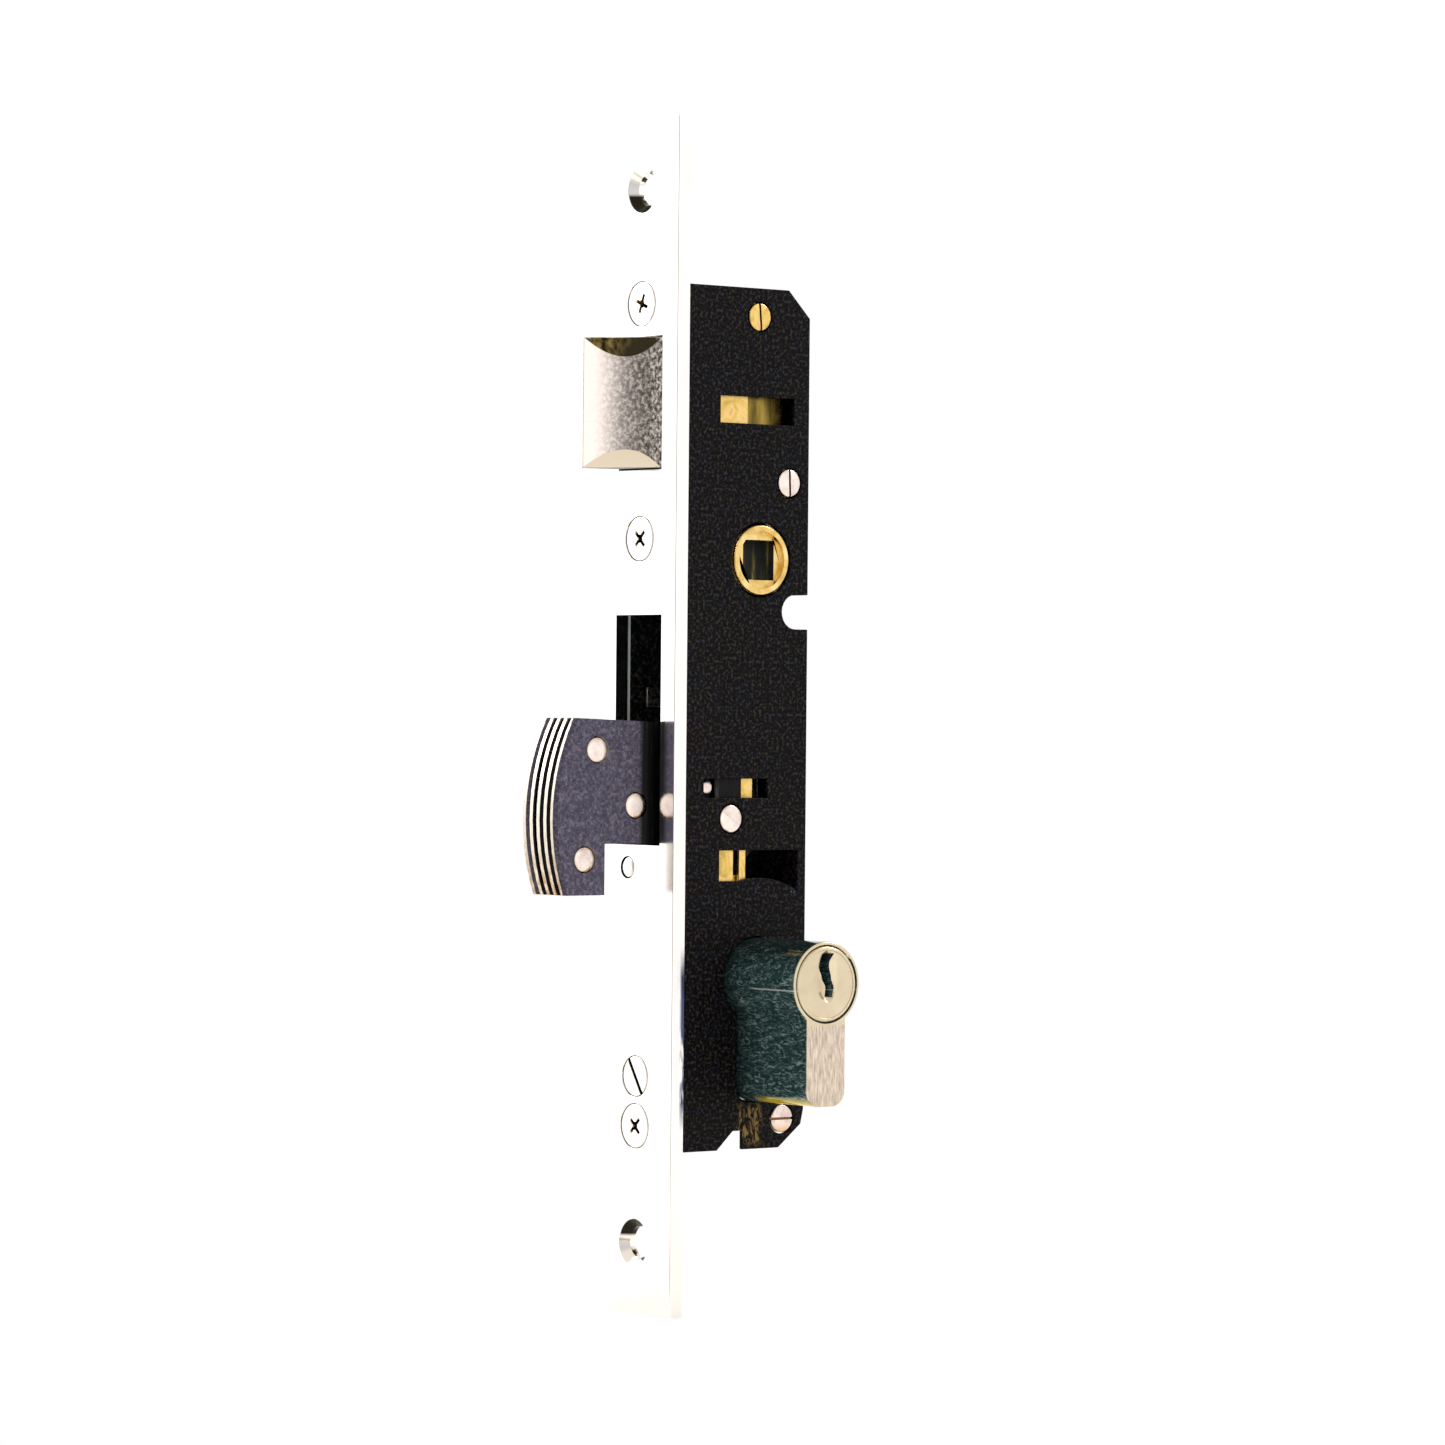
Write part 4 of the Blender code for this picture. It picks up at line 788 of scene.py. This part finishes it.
def make_case_screw(node, turn_deg):
    """A round-edged screw head with a sawn slot, and the shank that goes into its post."""
    x, z, r, ends = round_y(node)
    front, tip = ends
    neck = front + 1.1 * MM
    shank_r = 1.3 * MM
    profile = [(front, r - 0.45 * MM), (front + 0.05 * MM, r - 0.22 * MM),
               (front + 0.22 * MM, r - 0.03 * MM), (front + 0.3 * MM, r),
               (neck, r), (neck, shank_r), (tip, shank_r)]
    screw = place(f"fine_{node}", lathe(profile, "Y", (x, 0, z), 48))
    slot = box((-4 * MM, 4 * MM), (-OVER, 0.65 * MM), (-0.25 * MM, 0.25 * MM))
    turn = Matrix.Rotation(math.radians(turn_deg), 3, "Y")
    combine(screw, [moved(slot, turn, Vector((x, front, z)))])
    install(soften(screw, 0.05 * MM), node)


def make_pin(node, dome=0.1 * MM, score_deg=None, segments=48):
    """A pin along Y with rounded ends; score_deg draws one tool mark over its near end."""
    x, z, r, ends = round_y(node)
    rim = min(0.45 * MM, 0.3 * r)
    profile = [(ends[0], 0.35 * r), (ends[0] + 0.25 * dome, r - 2 * rim),
               (ends[0] + dome, r - 0.6 * rim), (ends[0] + dome + 0.5 * rim, r)]
    total = ends[0] + ends[1]
    profile += [(total - along, radius) for along, radius in reversed(profile)]
    pin = place(f"fine_{node}", lathe(profile, "Y", (x, 0, z), segments))
    if score_deg is not None:
        mark = box((-4 * MM, 4 * MM), (-OVER, 0.16 * MM), (-0.11 * MM, 0.11 * MM))
        turn = Matrix.Rotation(math.radians(score_deg), 3, "Y")
        combine(pin, [moved(mark, turn, Vector((x, ends[0], z)))])
    install(soften(pin, 0), node)


# ---------------- hub

HUB_DISC_R = 8.6 * MM
HUB_DISC_HALF = 3.2 * MM
HUB_JOURNAL_R = 7.05 * MM
HUB_RIM = 0.25 * MM
HUB_ARM_REACH = 22.5 * MM
HUB_ARM_HALF = 2.5 * MM
HUB_ARM_DEG = 116.0         # from +X towards +Z
HUB_RECESS_R = 5.8 * MM
HUB_RECESS_DEPTH = 1.2 * MM
SPINDLE_HALF = 4 * MM


def make_hub():
    """The follower: a disc and arm, turned journals and a square hole in round recesses."""
    low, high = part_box("hub")
    centre = Vector(JOINTS["hub_turn"]["pos_m"])
    open_deg = math.degrees(math.asin(HUB_ARM_HALF / HUB_DISC_R))
    outline = arc((centre.x, centre.z), HUB_DISC_R,
                  HUB_ARM_DEG + open_deg, HUB_ARM_DEG + 360 - open_deg, 60)
    arm = math.radians(HUB_ARM_DEG)
    reach = HUB_ARM_REACH - HUB_ARM_HALF
    tip = (centre.x + reach * math.cos(arm), centre.z + reach * math.sin(arm))
    outline += arc(tip, HUB_ARM_HALF, HUB_ARM_DEG - 90, HUB_ARM_DEG + 90, 18)
    journal = [(low.y, HUB_JOURNAL_R - HUB_RIM), (low.y + HUB_RIM, HUB_JOURNAL_R),
               (high.y - HUB_RIM, HUB_JOURNAL_R), (high.y, HUB_JOURNAL_R - HUB_RIM)]
    hub = combine(place("fine_hub", prism(outline, (-HUB_DISC_HALF, HUB_DISC_HALF))),
                  [lathe(journal, "Y", centre)], "UNION")
    half = SPINDLE_HALF
    cuts = [box((centre.x - half, centre.x + half), (low.y - OVER, high.y + OVER),
                (centre.z - half, centre.z + half))]
    for end, side in ((low.y, -1), (high.y, 1)):
        floor = end - side * HUB_RECESS_DEPTH
        levels = sorted((end + side * OVER, floor))
        cuts.append(lathe([(level, HUB_RECESS_R) for level in levels], "Y", centre))
    combine(hub, cuts)
    install(soften(hub, 0.12 * MM), "hub")


def make_hub_spring():
    """A short coil round the journal."""
    low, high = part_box("hub_spring")
    centre = Vector(JOINTS["hub_turn"]["pos_m"])
    wire = 0.45 * MM
    radius = (high.x - low.x) / 2 - wire
    at = (centre.x, 0, centre.z)
    points = coil_points("Y", at, radius, (low.y + wire, high.y - wire), 2.25)
    install(soften(place("fine_hub_spring", tube_along(points, wire)), 0), "hub_spring")


# ---------------- latch

TIP_FLAT = 0.5 * MM
FACE_BASE_X = 0.3 * MM
SCOOP_DEPTH = 2.5 * MM
SCOOP_END = 3.8 * MM
SPRING_SEAT_X = 3.9 * MM
TAIL_STEP_Y = -4.1 * MM     # the head is cut back to here for the tail
TAIL_ROOM = (4.7 * MM, 4.1 * MM)         # below and above the middle


def latch_head_mesh(columns=40):
    """The bevelled head; its working face is hollowed by a scoop with sloping ends."""
    low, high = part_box("latch_head")
    middle_z = (low.z + high.z) / 2
    half_height = (high.z - low.z) / 2
    tip = Vector((low.x, high.y - TIP_FLAT))
    base = Vector((FACE_BASE_X, low.y))
    chord = tip - base
    inward = Vector((chord.y, -chord.x)).normalized()
    mesh = bmesh.new()
    rows = [[], [], [], []]
    for i in range(columns + 1):
        u = i / columns
        share = 1 - (2 * u - 1) ** 2
        flat = base + chord * u
        deep = flat + inward * SCOOP_DEPTH * share
        rise = SCOOP_END * share
        places = ((flat, half_height), (deep, half_height - rise),
                  (deep, rise - half_height), (flat, -half_height))
        for row, (point, height) in zip(rows, places):
            row.append(mesh.verts.new((point.x, point.y, middle_z + height)))
    for upper, lower in zip(rows, rows[1:]):
        for i in range(columns):
            mesh.faces.new((upper[i], upper[i + 1], lower[i + 1], lower[i]))
    corners = ((low.x, high.y), (high.x, high.y), (high.x, low.y))
    top = [mesh.verts.new((x, y, high.z)) for x, y in corners]
    bottom = [mesh.verts.new((x, y, low.z)) for x, y in corners]
    mesh.faces.new(rows[0] + top)
    mesh.faces.new(list(reversed(rows[3] + bottom)))
    mesh.faces.new((top[0], top[1], bottom[1], bottom[0]))
    mesh.faces.new((top[1], top[2], bottom[2], bottom[1]))
    mesh.faces.new((rows[0][-1], top[0], bottom[0], rows[3][-1], rows[2][-1], rows[1][-1]))
    mesh.faces.new((top[2], rows[0][0], rows[1][0], rows[2][0], rows[3][0], bottom[2]))
    bmesh.ops.remove_doubles(mesh, verts=mesh.verts, dist=1 * UM)
    return mesh


def make_latch():
    """The head with room for its tail, pin and spring; the pin; and the coiled spring, which gets a mesh of its
    own.
    """
    tail_low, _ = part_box("latch_tail")
    head_low, head_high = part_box("latch_head")
    middle_z = (head_low.z + head_high.z) / 2
    back = head_high.x + OVER
    spring_low, spring_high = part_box("latch_spring")
    spring_y = (spring_low.y + spring_high.y) / 2
    spring_r = (spring_high.y - spring_low.y) / 2
    seat_r = spring_r + GAP
    seat = lathe([(SPRING_SEAT_X, seat_r), (back, seat_r)], "X", (0, spring_y, middle_z), 40)
    step = box((tail_low.x - GAP, back), (head_low.y - OVER, TAIL_STEP_Y),
               (middle_z - TAIL_ROOM[0], middle_z + TAIL_ROOM[1]))
    pin_x, pin_z, pin_r, pin_ends = round_y("latch_pin")
    hole_r = pin_r + GAP
    hole = lathe([(pin_ends[0] - OVER, hole_r), (pin_ends[1] + GAP, hole_r)], "Y", (pin_x, 0, pin_z), 32)
    head = combine(place("fine_latch_head", latch_head_mesh()), [step, seat, hole])
    install(soften(head, 0.14 * MM), "latch_head")
    make_pin("latch_pin", 0.05 * MM, segments=32)

    wire = 0.35 * MM
    radius = spring_r - wire
    span = (spring_low.x + wire, spring_high.x - wire)
    points = coil_points("X", (0, spring_y, middle_z), radius, span, 8, 32)
    spring = install(soften(place("fine_latch_spring", tube_along(points, wire, 10)), 0), "latch_spring")
    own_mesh(spring)


# ---------------- hook bolt

RIM_BEVEL = 0.7 * MM
CHEEK_BEVEL = 1.0 * MM
BOLT_RIM_R = 42.4 * MM


def make_bolt_plate(number):
    """One plate of the laminated bolt, its curved rim chamfered on both sides."""
    node = f"bolt_plate_{number}"
    low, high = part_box(node)
    pivot = Vector(JOINTS["bolt_swing"]["pos_m"])
    plate = cad_copy(node)
    mesh = bmesh.new()
    mesh.from_mesh(plate.data)
    for side_y in (low.y, high.y):
        width = CHEEK_BEVEL if number == 1 and side_y == low.y else RIM_BEVEL
        rim = []
        for edge in mesh.edges:
            ends = [vert.co - pivot for vert in edge.verts]
            flat = all(abs(end.y + pivot.y - side_y) < 10 * UM for end in ends)
            far = all(math.hypot(end.x, end.z) > BOLT_RIM_R - 20 * UM for end in ends)
            if flat and far:
                rim.append(edge)
        bmesh.ops.bevel(mesh, geom=rim, offset=width, offset_type="WIDTH", segments=1, affect="EDGES")
    mesh.to_mesh(plate.data)
    mesh.free()
    install(soften(plate, 0.08 * MM, 1, 50.0), node)


# ---------------- cylinder

CIRCLE_R = 8.5 * MM
LOBE_HALF = 5.0 * MM
LOBE_CORNER_R = 3.2 * MM
PLUG_R = 6.5 * MM
PLUG_FACE_R = 7.6 * MM
PLUG_FACE_DEPTH = 1.2 * MM
KEYWAY = [tuple(value * MM for value in row) for row in (      # height, sideways, half width
    (-2.6, 1.0, 0.75), (-0.7, 1.3, 0.9), (1.3, 0.6, 1.2), (3.7, -0.1, 1.4), (6.6, 0.5, 1.4))]
KEYWAY_DEPTH = 20 * MM
FUNNEL = ((1.5, 4.4 * MM, 6.1 * MM), (1.0, 3.4 * MM, 5.3 * MM),      # share of the depth from
          (0.0, 1.4 * MM, 4.5 * MM))                                 # its floor, half sizes
FUNNEL_DEPTH = 1.0 * MM
FUNNEL_OFFSET = (0.3 * MM, 1.6 * MM)
FACE_DISH_R = 5.8 * MM
FACE_DISH_DEPTH = 0.1 * MM
RING = (6.7 * MM, 6.9 * MM)              # radii of the turned groove in the face
RING_DEPTH = 0.05 * MM
CAM_ROOM_HALF = 15 * MM
CAM_ROOM_Z = (-15.5 * MM, 12 * MM)
PIN_BORE_Z = (-22 * MM, -5 * MM)


def euro_outline(centre, bottom):
    """The euro profile: a circle with a round-cornered lobe below it."""
    join = math.degrees(math.asin(LOBE_HALF / CIRCLE_R))
    points = arc((centre.x, centre.z), CIRCLE_R, 270 + join, 270 + 360 - join, 72)
    for side, start in ((-1, 180), (1, 270)):
        corner = (centre.x + side * (LOBE_HALF - LOBE_CORNER_R), bottom + LOBE_CORNER_R)
        points += arc(corner, LOBE_CORNER_R, start, start + 90, 14)
    return points


def keyway(centre, y):
    """A curved key slot, wide at its top, that eases from one row of KEYWAY to the next."""
    left, right = [], []
    steps = 6
    for (low, x0, half0), (high, x1, half1) in zip(KEYWAY, KEYWAY[1:]):
        for i in range(steps):
            share = (1 - math.cos(math.pi * i / steps)) / 2
            z = centre.z + low + (high - low) * i / steps
            middle = centre.x + x0 + (x1 - x0) * share
            half = half0 + (half1 - half0) * share
            left.append((middle - half, z))
            right.append((middle + half, z))
    return prism(left + right[::-1], y)


def funnel(centre, front, floor):
    """The elliptical hollow that leads a key into its slot, from outside front to floor."""
    side, up = FUNNEL_OFFSET
    rings = []
    for share, across, upright in FUNNEL:
        level = floor + (front - floor) * share
        rings.append([(centre.x + side + across * a, level, centre.z + up + upright * b)
                      for a, b in circle(48)])
    return loft(rings)


def make_cylinder_body():
    """The body with its plug bores, the cam's room, the fixing screw's hole and the pin bores."""
    low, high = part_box("cylinder_body")
    centre = Vector(JOINTS["cylinder_turn"]["pos_m"])
    body = place("fine_cylinder_body", prism(euro_outline(centre, low.z), (low.y, high.y)))
    soften(body, 0.35 * MM, 3)
    end = high.y
    step = end - PLUG_FACE_DEPTH - GAP
    face_r = PLUG_FACE_R + GAP
    bore_r = PLUG_R + GAP
    bore = [(-end - OVER, face_r), (-step, face_r), (-step, bore_r),
            (step, bore_r), (step, face_r), (end + OVER, face_r)]
    room_low, room_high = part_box("cam")
    room = box((centre.x - CAM_ROOM_HALF, centre.x + CAM_ROOM_HALF),
               (room_low.y - 0.4 * MM, room_high.y + 0.4 * MM),
               (centre.z + CAM_ROOM_Z[0], centre.z + CAM_ROOM_Z[1]))
    _, fix_z, _, _ = centre_and_radius("cylinder_screw")
    across = (low.x - OVER, high.x + OVER)
    fixing = lathe([(x, FIXING_SHANK_R + GAP) for x in across], "X", (0, 0, fix_z), 32)
    combine(body, [lathe(bore, "Y", centre), room, fixing] + pin_bores(centre))
    install(soften(body, 0), "cylinder_body")


def pin_bores(centre):
    """The five bores that the driver pins and their springs stand in."""
    bores = []
    for number in range(1, 6):
        pin_low, pin_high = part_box(f"driver_pin_{number}")
        middle = (pin_low + pin_high) / 2
        radius = (pin_high.y - pin_low.y) / 2 + 0.4 * MM
        bores.append(lathe([(z, radius) for z in PIN_BORE_Z], "Z", (middle.x, middle.y, centre.z), 24))
    return bores


def make_plug(node, side):
    """A plug end: a broad face with a turned ring and a funnel mouth round the keyway."""
    low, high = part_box(node)
    centre = Vector(JOINTS["cylinder_turn"]["pos_m"])
    front, inner = (low.y, high.y) if side < 0 else (high.y, low.y)

    def at(depth):
        return front - side * depth

    ring_in, ring_out = RING
    ring_floor = at(FACE_DISH_DEPTH + RING_DEPTH)
    slope = 0.1 * MM
    profile = [(at(FACE_DISH_DEPTH), FACE_DISH_R), (at(FACE_DISH_DEPTH), ring_in),
               (ring_floor, ring_in + slope), (ring_floor, ring_out - slope), (front, ring_out),
               (front, PLUG_FACE_R - 0.35 * MM), (at(0.3 * MM), PLUG_FACE_R),
               (at(PLUG_FACE_DEPTH), PLUG_FACE_R), (at(PLUG_FACE_DEPTH), PLUG_R), (inner, PLUG_R)]
    plug = place(f"fine_{node}", lathe(profile, "Y", centre))
    combine(plug, [keyway(centre, sorted((at(-OVER), at(KEYWAY_DEPTH)))),
                   funnel(centre, front, at(FUNNEL_DEPTH))])
    install(soften(plug, 0.05 * MM, 1), node)


# ---------------- pieces that keep the CAD shape

SOFTENED = {                # the width of the bevel in millimetres
    "case_body": 0.35, "case_cover": 0.22, "latch_tail": 0.15, "latch_guide": 0.12,
    "drive_slide": 0.25, "slide_arm": 0.1, "slide_driver": 0.15, "detent_spring": 0.08,
    "cam": 0.2, "front_lug_top": 0.15, "front_lug_middle": 0.15, "front_lug_bottom": 0.15}


def keep_cad_shapes():
    """Softens the edges of the pressed and sawn parts, and dresses the CAD nodes that still show."""
    for node, width in SOFTENED.items():
        install(soften(cad_copy(node), width * MM), node)
    for name, node in frame["nodes"].items():
        if not node.hide_render:
            node.data.materials.clear()
            node.data.materials.append(LOOKS[slot_of(name)])


# ---------------- camera, light and floor

TENT_PEAK = 1.35            # brightness of the whitest part of the tent
TENT_WALL = (               # its colour at degrees round from the cover's side
    (-180, (1.35, 1.35, 1.35)), (-136, (1.35, 1.35, 1.33)), (-126, (0.55, 0.52, 0.48)),
    (-104, (0.36, 0.34, 0.31)), (-66, (0.42, 0.40, 0.40)), (-40, (0.95, 0.91, 0.88)),
    (-16, (1.35, 1.30, 1.27)), (14, (1.35, 1.30, 1.27)), (32, (1.10, 1.06, 1.03)),
    (100, (0.95, 0.95, 0.96)), (180, (1.35, 1.35, 1.35)))
TENT_TOP = (0.64, 0.59, 0.52)
TENT_TOP_FROM, TENT_TOP_FULL = 0.30, 0.65     # sines of the elevations where the top takes over
FLOOR_R = 0.3
OLIVE_X, OLIVE_Y = (-170 * MM, -45 * MM), (-100 * MM, 22 * MM)


def direction(azimuth, elevation):
    """A unit vector at degrees round from the cover's side and above level."""
    around, above = math.radians(azimuth), math.radians(elevation)
    return Vector((math.sin(around) * math.cos(above), -math.cos(around) * math.cos(above),
                   math.sin(above)))


def make_camera():
    """The three-quarter view, with the small roll of a hand-held camera."""
    back = direction(VIEW_AZIMUTH, VIEW_ELEVATION)
    roll = math.radians(VIEW_ROLL)
    level = (-back).cross(Vector((0, 0, 1))).normalized()
    upright = back.cross(level)
    right = level * math.cos(roll) + upright * math.sin(roll)
    up = upright * math.cos(roll) - level * math.sin(roll)
    data = bpy.data.cameras.new("camera")
    data.lens = LENS
    data.sensor_width = 36.0
    camera = bpy.data.objects.new("camera", data)
    facing = Matrix((right, up, back)).transposed().to_4x4()
    camera.matrix_world = Matrix.Translation(VIEW_TARGET + back * VIEW_DISTANCE) @ facing
    bpy.context.scene.collection.objects.link(camera)
    bpy.context.scene.camera = camera


def make_world():
    """A white tent, dimmer where the photographer stands; the camera itself sees plain white."""
    world = bpy.data.worlds.new("tent")
    world.use_nodes = True
    world.node_tree.nodes.clear()
    bpy.context.scene.world = world
    nodes = Nodes(world.node_tree)
    split = nodes.add("ShaderNodeSeparateXYZ")
    nodes.feed(split.inputs[0], nodes.add("ShaderNodeTexCoord").outputs["Generated"])
    angle = nodes.maths("ARCTAN2", split.outputs["X"], nodes.maths("MULTIPLY", split.outputs["Y"], -1.0))
    wall = nodes.ramp(nodes.spread(angle, -math.pi, math.pi),
                      [((degrees + 180) / 360, [part / TENT_PEAK for part in colour])
                       for degrees, colour in TENT_WALL])
    height = nodes.maths("ABSOLUTE", split.outputs["Z"], 0.0)
    top = nodes.spread(height, TENT_TOP_FROM, TENT_TOP_FULL, curve="SMOOTHSTEP")
    soft = nodes.add("ShaderNodeBackground")
    soft.inputs["Strength"].default_value = TENT_PEAK
    nodes.feed(soft.inputs["Color"], nodes.mix(top, wall, TENT_TOP))
    plain = nodes.add("ShaderNodeBackground")
    plain.inputs["Color"].default_value = (1, 1, 1, 1)
    nodes.blank_out(soft, plain, nodes.add("ShaderNodeOutputWorld").inputs["Surface"])


def make_light(name, azimuth, elevation, distance, size, power, colour=(1, 1, 1)):
    """A square softbox that faces the lock from a direction given as for the camera."""
    back = direction(azimuth, elevation)
    data = bpy.data.lights.new(name, "AREA")
    data.size = size
    data.energy = power
    data.color = colour
    light = bpy.data.objects.new(name, data)
    facing = back.to_track_quat("Z", "Y").to_matrix().to_4x4()
    light.matrix_world = Matrix.Translation(VIEW_TARGET + back * distance) @ facing
    light.visible_camera = False
    bpy.context.scene.collection.objects.link(light)


def make_floor():
    """A pale disc under the lock, olive where the latch reflects it; the camera sees it white."""
    mesh = bmesh.new()
    bmesh.ops.create_circle(mesh, cap_ends=True, radius=FLOOR_R, segments=96)
    bmesh.ops.translate(mesh, verts=mesh.verts, vec=(VIEW_TARGET.x, 0, CAD_BOX[0].z - 0.2 * MM))
    floor = place("floor", mesh)
    recipe = Recipe("floor", (0.9, 0.9, 0.9), 0.0, 0.8)
    olive = recipe.all_of(recipe.within("X", *OLIVE_X, 12 * MM), recipe.within("Y", *OLIVE_Y, 12 * MM))
    recipe.colour(recipe.mix(olive, (0.95, 0.94, 0.92), (0.30, 0.24, 0.09)))
    recipe.blank_out(recipe.shader, recipe.add("ShaderNodeEmission"),
                     recipe.tree.nodes["Material Output"].inputs["Surface"])
    floor.data.materials.append(recipe.material)


make_camera()
make_world()
make_light("key", -150, 32, 1.3, 0.9, 9.0)
make_light("sparkle", 78, 42, 1.2, 0.35, 5.0, (1.0, 0.97, 0.94))
make_floor()

make_faceplate()
for screw_node, turned in CROSS_TURNS.items():
    make_cross_screw(screw_node, turned)
make_slotted_screw("cylinder_screw", FIXING_TURN)
make_face_rivet()
for screw_node, turned in CASE_SCREW_TURNS.items():
    make_case_screw(screw_node, turned)
make_pin("bolt_pivot_pin", 0.08 * MM, PIVOT_SCORE_TURN)
make_hub()
make_hub_spring()
make_latch()
for plate_number in range(1, 6):
    make_bolt_plate(plate_number)
for rivet_place in ("upper", "middle", "lower"):
    make_pin(f"bolt_rivet_{rivet_place}", 0.12 * MM)
make_pin("drive_pin", 0.08 * MM, segments=32)
make_cylinder_body()
make_plug("plug_near", -1)
make_plug("plug_far", 1)
keep_cad_shapes()

bpy.context.scene.view_settings.view_transform = "Standard"
